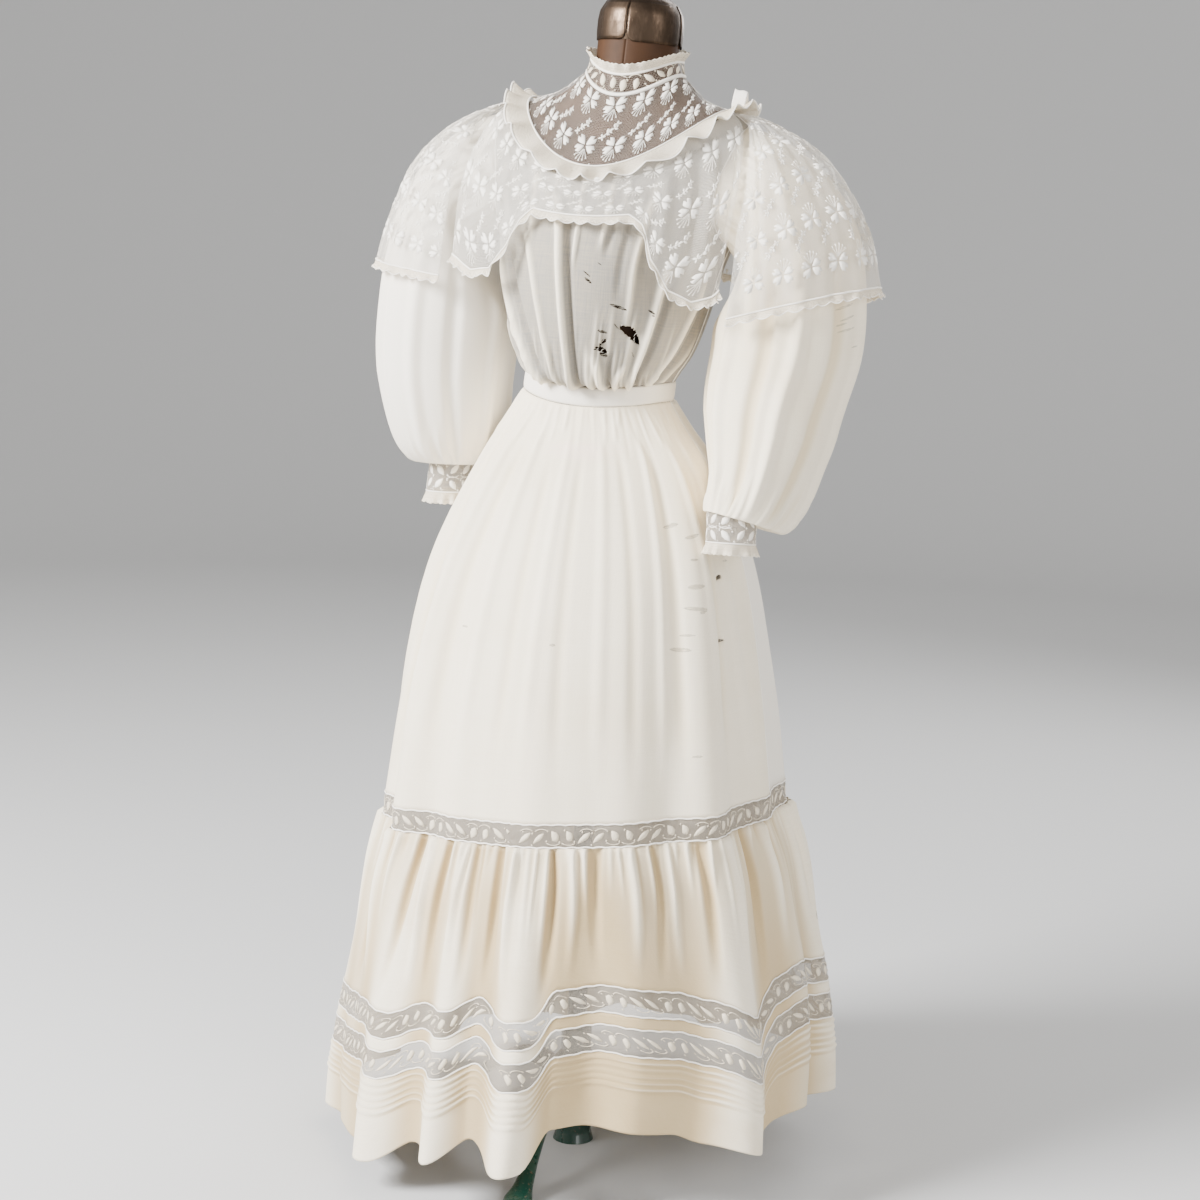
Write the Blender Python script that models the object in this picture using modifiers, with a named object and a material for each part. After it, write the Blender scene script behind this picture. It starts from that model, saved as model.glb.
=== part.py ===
"""Lace dress with bishop sleeves and a cape collar, on a dress form with a cast-iron foot.

Metres, +Z up, the floor at z = 0. The front is toward -Y and the wearer's left toward +X.
Cloth is a wall between an outer grid of points and the same grid moved inward. The bodice,
skirt and cape collar are stacks of tilted rings, and the sleeves are rings about a bent axis.
"""
from collections import namedtuple
from math import cos, pi, radians, sin

import bmesh
import bpy
import numpy as np

OBJECT_NAME = "lace_dress_on_dress_form"

WALL = 0.0013
BAND_WALL = 0.0024
SEAM = 0.0004
LAY = 0.0018
BEND_GAP = 0.012
RIGHT, LEFT = -1, 1
QUARTER = pi / 2

# Above the waist the body leans to the wearer's left and back, its shoulders tilt with it, and
# the skirt hangs a little lower on the wearer's right.
WAIST_LEVEL, HIP_LEVEL = 1.03, 0.93
LEAN_X, LEAN_Y = 0.056, 0.082
SKIRT_TILT = 0.060

Ring = namedtuple("Ring", "half_width front back z_front z_side z_back")

BODICE = [
    Ring(0.1008, 0.0845, 0.0815, 1.0464, 1.0594, 1.0624),   # waist
    Ring(0.1070, 0.1120, 0.0890, 1.0540, 1.0720, 1.0760),   # pouch over the band
    Ring(0.1230, 0.1310, 0.1000, 1.0960, 1.1020, 1.1080),
    Ring(0.1370, 0.1470, 0.1100, 1.1500, 1.1520, 1.1620),
    Ring(0.1460, 0.1560, 0.1170, 1.2050, 1.2020, 1.2160),   # bust
    Ring(0.1600, 0.1510, 0.1220, 1.2500, 1.2500, 1.2680),   # underarm
    Ring(0.1740, 0.1440, 0.1240, 1.2790, 1.3120, 1.3140),
    Ring(0.1780, 0.1380, 0.1220, 1.3010, 1.3740, 1.3460),   # shoulder tip
    Ring(0.1430, 0.1320, 0.1160, 1.3180, 1.4080, 1.3680),   # neckline
    Ring(0.0990, 0.0980, 0.0960, 1.3680, 1.4230, 1.4120),
    Ring(0.0640, 0.0620, 0.0660, 1.4190, 1.4520, 1.4560),   # foot of the collar
]
NECKLINE, COLLAR_FOOT = 8, 10

SKIRT = [
    Ring(0.3160, 0.3040, 0.3800, 0.1080, 0.0740, 0.0660),   # hem
    Ring(0.3190, 0.2990, 0.3820, 0.1700, 0.1290, 0.1220),
    Ring(0.3180, 0.2930, 0.3800, 0.2290, 0.1820, 0.1760),   # third lace, lower seam
    Ring(0.3160, 0.2900, 0.3750, 0.2640, 0.2170, 0.2110),
    Ring(0.3140, 0.2880, 0.3720, 0.2800, 0.2330, 0.2270),   # second lace, lower seam
    Ring(0.3090, 0.2850, 0.3650, 0.3140, 0.2670, 0.2610),
    Ring(0.2960, 0.2780, 0.3450, 0.3680, 0.3380, 0.3350),
    Ring(0.2820, 0.2680, 0.3230, 0.4240, 0.4120, 0.4120),
    Ring(0.2600, 0.2520, 0.2960, 0.4740, 0.4750, 0.4790),   # first lace, lower seam
    Ring(0.2560, 0.2490, 0.2910, 0.5030, 0.5040, 0.5080),
    Ring(0.2450, 0.2370, 0.2760, 0.6000, 0.6000, 0.6000),
    Ring(0.2340, 0.2230, 0.2620, 0.6800, 0.6800, 0.6800),
    Ring(0.2220, 0.2040, 0.2460, 0.7550, 0.7550, 0.7550),
    Ring(0.2090, 0.1840, 0.2260, 0.8150, 0.8150, 0.8150),
    Ring(0.1930, 0.1620, 0.2030, 0.8650, 0.8650, 0.8650),
    Ring(0.1720, 0.1380, 0.1760, 0.9150, 0.9150, 0.9150),   # hip
    Ring(0.1490, 0.1150, 0.1460, 0.9570, 0.9600, 0.9620),
    Ring(0.1230, 0.0960, 0.1130, 0.9900, 0.9990, 1.0030),
    Ring(0.1008, 0.0845, 0.0815, 1.0212, 1.0342, 1.0372),   # waist
]
HEM, LACE_3, LACE_3_TOP, LACE_2, LACE_2_TOP, LACE_1, LACE_1_TOP, WAIST = 0, 2, 3, 4, 5, 8, 9, 18

Fold = namedtuple("Fold", "turn width height")

FLOUNCE_FOLDS = [
    Fold(-72, 12, 0.032), Fold(-53, 12, 0.010), Fold(-31, 11, 0.042), Fold(-12, 7, 0.038),
    Fold(6, 8, 0.045), Fold(23, 12, -0.028), Fold(60, 12, 0.044), Fold(88, 10, 0.016),
    Fold(105, 8, 0.036), Fold(123, 9, 0.040), Fold(142, 9, 0.044), Fold(160, 8, 0.036),
    Fold(177, 8, 0.046), Fold(195, 9, 0.038), Fold(213, 8, 0.044), Fold(231, 9, 0.034),
    Fold(250, 8, 0.030), Fold(267, 8, 0.026),
]
SKIRT_FOLDS = [
    Fold(-63, 13, 0.016), Fold(-41, 13, 0.026), Fold(-20, 8, 0.004), Fold(5, 10, 0.004),
    Fold(33, 12, 0.006), Fold(57, 13, 0.024), Fold(86, 10, 0.008), Fold(108, 10, 0.012),
    Fold(129, 10, 0.017), Fold(150, 10, 0.020), Fold(170, 9, 0.024), Fold(189, 9, 0.024),
    Fold(208, 10, 0.020), Fold(229, 10, 0.019), Fold(250, 11, 0.016), Fold(272, 10, 0.012),
]
# The flounce is gathered unevenly, so the lace bands and the hem hang this much below their rings.
Hang = namedtuple("Hang", "turn bands hem")
FLOUNCE_HANG = [
    Hang(-84, 0.034, 0.018), Hang(-57, 0.046, 0.027), Hang(-42, 0.046, 0.038), Hang(-29, 0.058, 0.046),
    Hang(-20, 0.044, 0.020), Hang(-12, 0.048, 0.032), Hang(-4, 0.030, 0.004), Hang(2, 0.054, 0.036),
    Hang(9, 0.050, 0.032), Hang(15, 0.012, -0.016), Hang(28, 0.002, -0.018), Hang(43, 0.003, -0.016),
    Hang(51, 0.010, -0.004), Hang(66, 0.036, 0.012), Hang(77, -0.006, -0.008), Hang(86, -0.018, -0.012),
    Hang(105, 0.006, 0.002), Hang(114, 0.000, 0.000), Hang(142, 0.020, 0.016), Hang(151, 0.000, 0.000),
    Hang(177, 0.022, 0.018), Hang(186, 0.002, 0.000), Hang(213, 0.020, 0.016), Hang(222, 0.004, 0.000),
    Hang(250, 0.026, 0.014), Hang(259, 0.018, 0.008),
]
GATHER = 0.0026
COLUMNS = 76

Cape = namedtuple("Cape", "half_width front_reach side_reach z_front z_side")

CAPE_FRONT = [
    Cape(0.1450, 0.1340, 0.0060, 1.3180, 1.4080),
    Cape(0.1690, 0.1470, 0.0400, 1.3010, 1.3880),
    Cape(0.1830, 0.1560, 0.0740, 1.2810, 1.3450),
    Cape(0.1880, 0.1640, 0.0960, 1.2540, 1.2930),
    Cape(0.1860, 0.1680, 0.1060, 1.2120, 1.2350),
    Cape(0.1830, 0.1690, 0.1080, 1.1600, 1.1720),
]
CAPE_BACK = [
    Cape(0.1450, 0.1180, 0.0060, 1.3680, 1.4080),
    Cape(0.1660, 0.1290, 0.0400, 1.3480, 1.3880),
    Cape(0.1770, 0.1350, 0.0720, 1.3180, 1.3450),
    Cape(0.1810, 0.1380, 0.0920, 1.2780, 1.2930),
    Cape(0.1800, 0.1400, 0.1010, 1.2300, 1.2350),
    Cape(0.1760, 0.1400, 0.1020, 1.1760, 1.1720),
]
CapeEdge = namedtuple("CapeEdge", "turn reach")
FRONT_EDGE = [CapeEdge(-90, 4.55), CapeEdge(-70, 4.60), CapeEdge(-52, 4.75), CapeEdge(-38, 4.60),
              CapeEdge(-29, 4.00), CapeEdge(-23, 3.20), CapeEdge(-18, 2.72), CapeEdge(22, 2.72),
              CapeEdge(28, 3.10), CapeEdge(34, 4.05), CapeEdge(44, 4.75), CapeEdge(58, 5.00),
              CapeEdge(75, 4.90), CapeEdge(90, 4.75)]
BACK_EDGE = [CapeEdge(-90, 4.80), CapeEdge(-45, 4.55), CapeEdge(0, 4.30), CapeEdge(45, 4.55),
             CapeEdge(90, 4.80)]

Crest = namedtuple("Crest", "x_crest z_crest x_side y_side z_side")

SLEEVE_CAPE = {
    RIGHT: [
        Crest(0.1440, 1.4088, 0.1438, 0.0050, 1.4080),
        Crest(0.1700, 1.4040, 0.1690, 0.0320, 1.3960),
        Crest(0.2030, 1.3910, 0.1850, 0.0680, 1.3600),
        Crest(0.2480, 1.3660, 0.1940, 0.0990, 1.3120),
        Crest(0.2920, 1.3180, 0.1930, 0.1110, 1.2600),
        Crest(0.3180, 1.2500, 0.1920, 0.1130, 1.2120),
        Crest(0.3340, 1.1820, 0.1910, 0.1160, 1.1700),
    ],
    LEFT: [
        Crest(0.1440, 1.4088, 0.1438, 0.0050, 1.4080),
        Crest(0.1740, 1.4060, 0.1700, 0.0320, 1.3980),
        Crest(0.2120, 1.3930, 0.1870, 0.0660, 1.3620),
        Crest(0.2600, 1.3690, 0.1970, 0.0960, 1.3120),
        Crest(0.3040, 1.3240, 0.1940, 0.1080, 1.2550),
        Crest(0.3400, 1.2680, 0.1950, 0.1130, 1.2050),
        Crest(0.3600, 1.2060, 0.1940, 0.1160, 1.1500),
    ],
}
ARMHOLE_ROW, ARMHOLE_HALF_ROWS = 6.15, 1.30
ARMHOLE_FRONT, ARMHOLE_BACK = radians(30), radians(26)

# Sleeve rings: the axis goes outward at turn 0 and straight down at 90; pitch lifts the front.
Section = namedtuple("Section", "x y z turn pitch across deep")

SLEEVE_TOP = {
    RIGHT: [
        Section(0.204, -0.003, 1.290, 14, 0, 0.081, 0.080),
        Section(0.221, 0.000, 1.250, 34, 0, 0.092, 0.091),
        Section(0.230, 0.002, 1.208, 54, 0, 0.096, 0.095),
        Section(0.233, 0.004, 1.160, 73, 0, 0.095, 0.096),
        Section(0.234, 0.006, 1.110, 86, 0, 0.094, 0.096),
    ],
    LEFT: [
        Section(0.206, -0.003, 1.290, 14, 0, 0.083, 0.080),
        Section(0.228, 0.000, 1.252, 34, 0, 0.096, 0.091),
        Section(0.241, 0.002, 1.211, 54, 0, 0.101, 0.095),
        Section(0.246, 0.004, 1.164, 73, 0, 0.099, 0.096),
        Section(0.247, 0.006, 1.113, 86, 0, 0.097, 0.096),
    ],
}
SLEEVE_LOW = {
    RIGHT: [
        Section(0.235, 0.012, 1.056, 90, 0, 0.092, 0.094),
        Section(0.233, 0.020, 0.994, 90, 2, 0.084, 0.089),
        Section(0.232, 0.030, 0.948, 90, 3, 0.070, 0.076),
        Section(0.229, 0.038, 0.926, 90, 2, 0.052, 0.056),
        Section(0.227, 0.042, 0.930, 90, 0, 0.032, 0.036),
    ],
    LEFT: [
        Section(0.240, 0.004, 1.052, 90, 2, 0.091, 0.094),
        Section(0.239, -0.010, 0.985, 94, 8, 0.079, 0.088),
        Section(0.238, -0.036, 0.922, 100, 14, 0.064, 0.080),
        Section(0.231, -0.073, 0.886, 103, 13, 0.050, 0.061),
        Section(0.221, -0.091, 0.900, 90, 6, 0.031, 0.034),
    ],
}
CUFF_DROP = {RIGHT: 0.042, LEFT: 0.040}
CUFF_DRIFT_X, CUFF_DRIFT_Y = 0.002, -0.006
RUFFLE_DROP, RUFFLE_FLARE = 0.016, 0.004

BAND_PROUD = 0.0014
COLLAR_HEIGHT, COLLAR_TAPER = 0.026, 0.0035
COLLAR_RUFFLE_HEIGHT, COLLAR_RUFFLE_FLARE = 0.018, 0.0065
# The neckline ruffle's edges in rows from the neckline, and how far each stands off the cloth.
NECK_RUFFLE_IN, NECK_RUFFLE_OUT = 0.16, 0.70
RUFFLE_MIDDLE_OFF, RUFFLE_EDGE_OFF = 0.0052, 0.0118
SHOULDER_MIDDLE_OFF, SHOULDER_EDGE_OFF = 0.003, 0.014
COLLAR_WAVE, NECK_WAVE, CAPE_WAVE, CUFF_WAVE = 0.0025, 0.0022, 0.0028, 0.0025
FRILL_DROP, FRILL_OUT = 0.010, 0.003

# The form stands inside the bodice by these insets, one for each bodice ring.
FORM_INSETS = [0.0022, 0.012, 0.014, 0.013, 0.011, 0.010, 0.011, 0.011, 0.0070, 0.0036, 0.0030]
FORM_ROWS = [1.0, 2.0, 3.0, 4.0, 5.0, 6.0, 7.0, 7.5, 8.0, 8.5, 9.0, 9.5, 10.0]
FORM_HIPS = [
    Ring(0.1480, 0.1250, 0.1500, 0.8000, 0.8000, 0.8000),
    Ring(0.1540, 0.1290, 0.1560, 0.8500, 0.8500, 0.8500),
    Ring(0.1470, 0.1200, 0.1500, 0.9050, 0.9050, 0.9050),
    Ring(0.1270, 0.1020, 0.1260, 0.9520, 0.9550, 0.9570),
    Ring(0.1080, 0.0880, 0.0990, 0.9880, 0.9960, 0.9990),
    Ring(0.0986, 0.0823, 0.0793, 1.0180, 1.0310, 1.0340),
    Ring(0.0986, 0.0823, 0.0793, 1.0470, 1.0600, 1.0630),
]
NECK_RADIUS = 0.0540
NECK_TOP = 1.4905
NECK_LEVELS = [(1.440, 1.466, 1.470), (NECK_TOP, NECK_TOP, NECK_TOP)]

CAP_PROFILE = [(0.0, 0.0660), (0.0140, 0.0650), (0.0310, 0.0605), (0.0450, 0.0515),
               (0.0530, 0.0380), (0.0550, 0.0250), (0.0552, 0.0090), (0.0545, 0.0), (0.0, 0.0)]
POLE_RADIUS = 0.0130
HUB_TOP, HUB_FOOT = 0.170, 0.0
HUB_PROFILE = [(0.0, 1.0), (0.018, 1.0), (0.021, 0.95), (0.021, 0.75), (0.034, 0.66),
               (0.038, 0.54), (0.034, 0.36), (0.026, 0.26), (0.024, 0.08), (0.028, 0.0), (0.0, 0.0)]
LEG_TURNS = {"front": 5, "left": 125, "right": 245}
LegSection = namedtuple("LegSection", "reach z half_width half_height")
LEG = [
    LegSection(0.0383, 0.0900, 0.0130, 0.0170),
    LegSection(0.0800, 0.0980, 0.0105, 0.0130),
    LegSection(0.1300, 0.0840, 0.0095, 0.0105),
    LegSection(0.1850, 0.0480, 0.0095, 0.0095),
    LegSection(0.2250, 0.0180, 0.0130, 0.0100),
    LegSection(0.2480, 0.0080, 0.0190, 0.0080),
    LegSection(0.2660, 0.0070, 0.0140, 0.0070),
]

# Torn places wide enough to see through: turn and level on the outer surface, in degrees and metres.
Rip = namedtuple("Rip", "turn level length width slant")
BODICE_RIPS = [Rip(36, 1.117, 0.038, 0.020, -32), Rip(19, 1.098, 0.020, 0.0065, -20),
               Rip(21, 1.108, 0.015, 0.0050, 28)]
SKIRT_RIPS = [Rip(74, 0.852, 0.030, 0.014, 12), Rip(69, 0.805, 0.015, 0.0075, 5),
              Rip(66, 0.727, 0.022, 0.0055, 8)]

Look = namedtuple("Look", "color roughness metallic")
LOOKS = {
    "voile": Look((0.86, 0.80, 0.70), 0.85, 0.0),
    "lace_net": Look((0.80, 0.75, 0.67), 0.90, 0.0),
    "lace_edging": Look((0.88, 0.83, 0.74), 0.90, 0.0),
    "form_cover": Look((0.16, 0.10, 0.07), 0.80, 0.0),
    "neck_cap": Look((0.30, 0.22, 0.15), 0.40, 1.0),
    "iron": Look((0.03, 0.07, 0.05), 0.45, 0.0),
}


def clear_scene():
    for thing in list(bpy.data.objects):
        bpy.data.objects.remove(thing)


def collection(name):
    made = bpy.data.collections.new(name)
    bpy.context.scene.collection.children.link(made)
    return made


def material(name):
    """One Principled material for each look, made the first time it is asked for."""
    if name in bpy.data.materials:
        return bpy.data.materials[name]
    look = LOOKS[name]
    made = bpy.data.materials.new(name)
    made.use_nodes = True
    shader = made.node_tree.nodes["Principled BSDF"]
    shader.inputs["Base Color"].default_value = (*look.color, 1.0)
    shader.inputs["Roughness"].default_value = look.roughness
    shader.inputs["Metallic"].default_value = look.metallic
    return made


def smooth(values, at):
    """Rows of values at fractional row numbers, on a Catmull-Rom curve through the rows."""
    values, at = np.asarray(values, float), np.asarray(at, float)
    last = len(values) - 1
    row = np.clip(np.floor(at).astype(int), 0, last - 1)
    part = (at - row).reshape(at.shape + (1,) * (values.ndim - 1))
    start, end = values[row], values[row + 1]
    before = np.where((row > 0).reshape(part.shape), values[np.maximum(row - 1, 0)], 2 * start - end)
    after = np.where((row < last - 1).reshape(part.shape), values[np.minimum(row + 2, last)], 2 * end - start)
    into, out_of = (end - before) / 2, (after - start) / 2
    rise = end - start
    return start + part * (into + part * (3 * rise - 2 * into - out_of + part * (into + out_of - 2 * rise)))


def leaned(point):
    """The body's lean and the skirt's tilt, the same smooth warp for every piece.

    Above the waist a point slides sideways and back in step with its height, and its level drops
    toward the wearer's left; below the hips its level rises toward the left instead.
    """
    x, y, z = np.moveaxis(np.asarray(point, float), -1, 0)
    above = np.maximum(z - WAIST_LEVEL, 0.0)
    upper = np.clip((z - HIP_LEVEL) / (WAIST_LEVEL - HIP_LEVEL), 0.0, 1.0)
    lower = np.clip((HIP_LEVEL - z) / (HIP_LEVEL - SKIRT[LACE_1_TOP].z_side), 0.0, 1.0)
    tilt = SKIRT_TILT * lower * lower * (3 - 2 * lower) - LEAN_X * upper * upper * (3 - 2 * upper)
    return np.stack([x + LEAN_X * above, y + LEAN_Y * above, z + tilt * x], axis=-1)


def ring_surface(rows):
    """A surface of tilted rings: turn is the angle from the front toward +X, at the row number.

    Each ring is two half ellipses, and its level goes from the side's to the front's or the
    back's with the squared cosine of the turn.
    """
    def surface(turn, at):
        half_width, front, back, z_front, z_side, z_back = np.moveaxis(smooth(rows, at), -1, 0)
        along = np.cos(turn)
        reach = np.where(along > 0, front, back)
        level = z_side + (np.where(along > 0, z_front, z_back) - z_side) * along**2
        return np.stack([half_width * np.sin(turn), -reach * along, level + 0 * turn], axis=-1)
    return surface


def moved_out(surface, turn, at, out):
    """Points of a surface moved along its outward normal, for rows that go upward."""
    step = 1e-3
    across = surface(turn + step, at) - surface(turn - step, at)
    upward = surface(turn, at + step) - surface(turn, at - step)
    normal = np.cross(across, upward)
    normal /= np.linalg.norm(normal, axis=-1, keepdims=True)
    return surface(turn, at) + np.asarray(out)[..., None] * normal


def fold_height(folds, turn):
    """Sum of rounded ridges: each is a squared cosine that reaches zero at its width."""
    centre, width, height = np.array(folds, float).T
    away = np.asarray(turn)[..., None] - np.radians(centre)
    away = np.abs((away + pi) % (2 * pi) - pi) / np.radians(width)
    return (height * np.cos(np.minimum(away, 1.0) * QUARTER) ** 2).sum(axis=-1)


def hang(turn, drop):
    """How far the flounce hangs below its rings, eased from one entry of its table to the next.

    drop goes from 0 at the first lace to 1 at the hem.
    """
    table = np.array(FLOUNCE_HANG, float)
    starts = np.radians(table[:, 0])
    ends = np.append(starts[1:], starts[0] + 2 * pi)
    turn = (np.asarray(turn, float) - starts[0]) % (2 * pi) + starts[0]
    spot = np.searchsorted(starts, turn, side="right") - 1
    share = (1 - np.cos(pi * (turn - starts[spot]) / (ends[spot] - starts[spot]))) / 2
    after = (spot + 1) % len(table)
    bands = table[spot, 1] + (table[after, 1] - table[spot, 1]) * share
    hem = table[spot, 2] + (table[after, 2] - table[spot, 2]) * share
    return bands * np.interp(drop, [0, 0.5, 0.73, 1], [0, 1, 1, 0]) + hem * np.interp(drop, [0.73, 1], [0, 1])


def skirt_surface(turn, at):
    """The skirt's rings, pushed outward by folds that grow from the waist and from the gathers."""
    point = ring_surface(SKIRT)(turn, at)
    upper = np.clip((WAIST - at) / (WAIST - LACE_1_TOP), 0.0, 1.0) * np.clip(at / LACE_1_TOP, 0.35, 1.0)
    level = smooth([[row.z_side] for row in SKIRT], at)[..., 0]
    drop = np.clip((SKIRT[LACE_1].z_side - level) / (SKIRT[LACE_1].z_side - SKIRT[HEM].z_side), 0.0, 1.0)
    push = upper * fold_height(SKIRT_FOLDS, turn) + drop**1.15 * fold_height(FLOUNCE_FOLDS, turn)
    moved = point + push[..., None] * np.stack([np.sin(turn), -np.cos(turn), 0 * turn], axis=-1)
    moved[..., 2] -= hang(turn, drop)
    return moved


def armhole_turn(at):
    """How far from the front a bodice panel reaches: to the side seam, or to the armhole's edge."""
    round_off = np.sqrt(np.clip(1 - ((at - ARMHOLE_ROW) / ARMHOLE_HALF_ROWS) ** 2, 0.0, 1.0))
    return QUARTER - ARMHOLE_FRONT * round_off, QUARTER - ARMHOLE_BACK * round_off


def armhole_loop(side, phi):
    """The armhole's points, from the shoulder tip round by the front to the underarm."""
    swing = np.where(np.sin(phi) > 0, ARMHOLE_FRONT, ARMHOLE_BACK)
    turn = side * (QUARTER - swing * np.sin(phi))
    return moved_out(ring_surface(BODICE), turn, ARMHOLE_ROW + ARMHOLE_HALF_ROWS * np.cos(phi), 0.0010)


def section_rings(side, sections, phi):
    """Rings about a bent axis: phi goes from the outer side of the sleeve toward its front."""
    rings = []
    for part in sections:
        turn, pitch = radians(part.turn), radians(part.pitch)
        outer = np.array([sin(turn), 0.0, cos(turn)])
        ahead = np.array([0.0, -cos(pitch), sin(pitch)])
        centre = np.array([part.x, part.y, part.z])
        ring = centre + part.across * np.cos(phi)[:, None] * outer + part.deep * np.sin(phi)[:, None] * ahead
        rings.append(ring * [side, 1, 1])
    return rings


def sleeve_rings(side, phi):
    rings = section_rings(side, SLEEVE_TOP[side] + SLEEVE_LOW[side], phi)
    return np.array([armhole_loop(side, phi)] + rings)


def closed_angles(count):
    return np.arange(count) * 2 * pi / count


def sheet(name, points, look, around=False, wall=WALL):
    """A cloth wall from a grid of outer points, rows upward and columns to the wearer's left."""
    points = leaned(points)
    rows, columns = points.shape[:2]
    faces = []
    for row in range(rows - 1):
        for column in range(columns if around else columns - 1):
            beside = (column + 1) % columns
            low, high = row * columns, (row + 1) * columns
            faces.append((low + column, low + beside, high + beside, high + column))
    mesh = bpy.data.meshes.new(name)
    mesh.from_pydata(points.reshape(-1, 3).tolist(), [], faces)
    mesh.shade_smooth()
    mesh.materials.append(material(look))
    made = bpy.data.objects.new(name, mesh)
    PARTS.objects.link(made)
    thick = made.modifiers.new("Wall", "SOLIDIFY")
    thick.thickness = wall
    thick.offset = -1.0
    return made


def solid(name, bm, look):
    """A closed body from a bmesh."""
    bmesh.ops.recalc_face_normals(bm, faces=bm.faces)
    mesh = bpy.data.meshes.new(name)
    bm.to_mesh(mesh)
    bm.free()
    mesh.shade_smooth()
    mesh.set_sharp_from_angle(angle=radians(40))
    mesh.materials.append(material(look))
    made = bpy.data.objects.new(name, mesh)
    PARTS.objects.link(made)
    return made


def lofted(name, rings, look):
    """A closed body through rings of equally many points, with a flat cap at each end."""
    bm = bmesh.new()
    loops = [[bm.verts.new(point) for point in ring] for ring in rings]
    for low, high in zip(loops, loops[1:]):
        for here in range(len(low)):
            beside = (here + 1) % len(low)
            bm.faces.new((low[here], low[beside], high[beside], high[here]))
    bm.faces.new(loops[0])
    bm.faces.new(loops[-1])
    return solid(name, bm, look)


def turned(name, profile, look, steps=20):
    """A turned body from a closed profile of radius and height, outer side first."""
    bm = bmesh.new()
    corners = [bm.verts.new((radius, 0.0, height)) for radius, height in profile]
    for here, beside in zip(corners, corners[1:]):
        bm.edges.new((here, beside))
    mesh = bpy.data.meshes.new(name)
    bm.to_mesh(mesh)
    bm.free()
    mesh.materials.append(material(look))
    made = bpy.data.objects.new(name, mesh)
    PARTS.objects.link(made)
    screw = made.modifiers.new("Turn", "SCREW")
    screw.steps = screw.render_steps = steps
    screw.use_merge_vertices = True
    screw.merge_threshold = 0.0001
    return made


def between(rows, low, high, steps):
    """Row numbers from one seam to the next, half a seam's gap short of both."""
    levels = np.array([[row.z_side] for row in rows])
    nudge = 0.01
    rise_low = (smooth(levels, np.array(low + nudge)) - smooth(levels, np.array(float(low))))[0] / nudge
    rise_high = (smooth(levels, np.array(float(high))) - smooth(levels, np.array(high - nudge)))[0] / nudge
    return np.linspace(low + SEAM / 2 / rise_low, high - SEAM / 2 / rise_high, steps + 1)


def cut(body, surface, rips, at_level):
    """Cut each torn place through a wall with a pointed lens along the surface's normal."""
    for number, rip in enumerate(rips):
        turn, at = np.array(radians(rip.turn)), np.array(at_level(rip.level))
        point = leaned(surface(turn, at))
        normal = leaned(moved_out(surface, turn, at, np.array(0.01))) - point
        normal /= np.linalg.norm(normal)
        across = np.cross([0, 0, 1.0], normal)
        across /= np.linalg.norm(across)
        upward = np.cross(normal, across)
        slant = radians(rip.slant)
        long_way = across * cos(slant) + upward * sin(slant)
        short_way = upward * cos(slant) - across * sin(slant)
        bm = bmesh.new()
        ends = []
        for depth in (-0.012, 0.012):
            corners = []
            for step in closed_angles(10):
                lens = rip.width / 2 * sin(step) * (1 - 0.35 * cos(step) ** 2)
                place = point + long_way * rip.length / 2 * cos(step) + short_way * lens + normal * depth
                corners.append(bm.verts.new(place))
            ends.append(corners)
        for here in range(10):
            beside = (here + 1) % 10
            bm.faces.new((ends[0][here], ends[0][beside], ends[1][beside], ends[1][here]))
        bm.faces.new(ends[0])
        bm.faces.new(ends[1])
        bmesh.ops.recalc_face_normals(bm, faces=bm.faces)
        mesh = bpy.data.meshes.new(f"{body.name}_rip_{number}")
        bm.to_mesh(mesh)
        bm.free()
        cutter = bpy.data.objects.new(mesh.name, mesh)
        cutter.hide_render = True
        cutter.display_type = "WIRE"
        CUTTERS.objects.link(cutter)
        hole = body.modifiers.new("Rip", "BOOLEAN")
        hole.operation = "DIFFERENCE"
        hole.object = cutter


def row_at_level(rows, turn):
    """A function that gives the row number at a level, at one turn."""
    grid = np.linspace(0, len(rows) - 1, 400)
    levels = ring_surface(rows)(np.full(grid.shape, turn), grid)[:, 2]
    return lambda level: float(np.interp(level, levels, grid))


def build_bodice():
    rows = between(BODICE, 0, NECKLINE, 10)
    rows[-1] -= BEND_GAP
    front_reach, back_reach = armhole_turn(rows)
    share = np.linspace(-1, 1, 17)
    gap = SEAM / BODICE[0].half_width
    front = ring_surface(BODICE)(share * (front_reach - gap)[:, None], rows[:, None])
    back = ring_surface(BODICE)(pi + share * (back_reach - gap)[:, None], rows[:, None])
    front_panel = sheet("bodice_front", front, "voile")
    cut(front_panel, ring_surface(BODICE), BODICE_RIPS, row_at_level(BODICE, radians(30)))
    sheet("bodice_back", back, "voile")


def build_yoke():
    rows = between(BODICE, NECKLINE, COLLAR_FOOT, 4)
    rows[0] += BEND_GAP
    gap = SEAM / BODICE[COLLAR_FOOT].half_width
    share = np.linspace(-1, 1, 17) * (QUARTER - gap)
    for name, middle in (("yoke_front", 0.0), ("yoke_back", pi)):
        sheet(name, ring_surface(BODICE)(middle + share[None, :], rows[:, None]), "lace_net")


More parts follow.
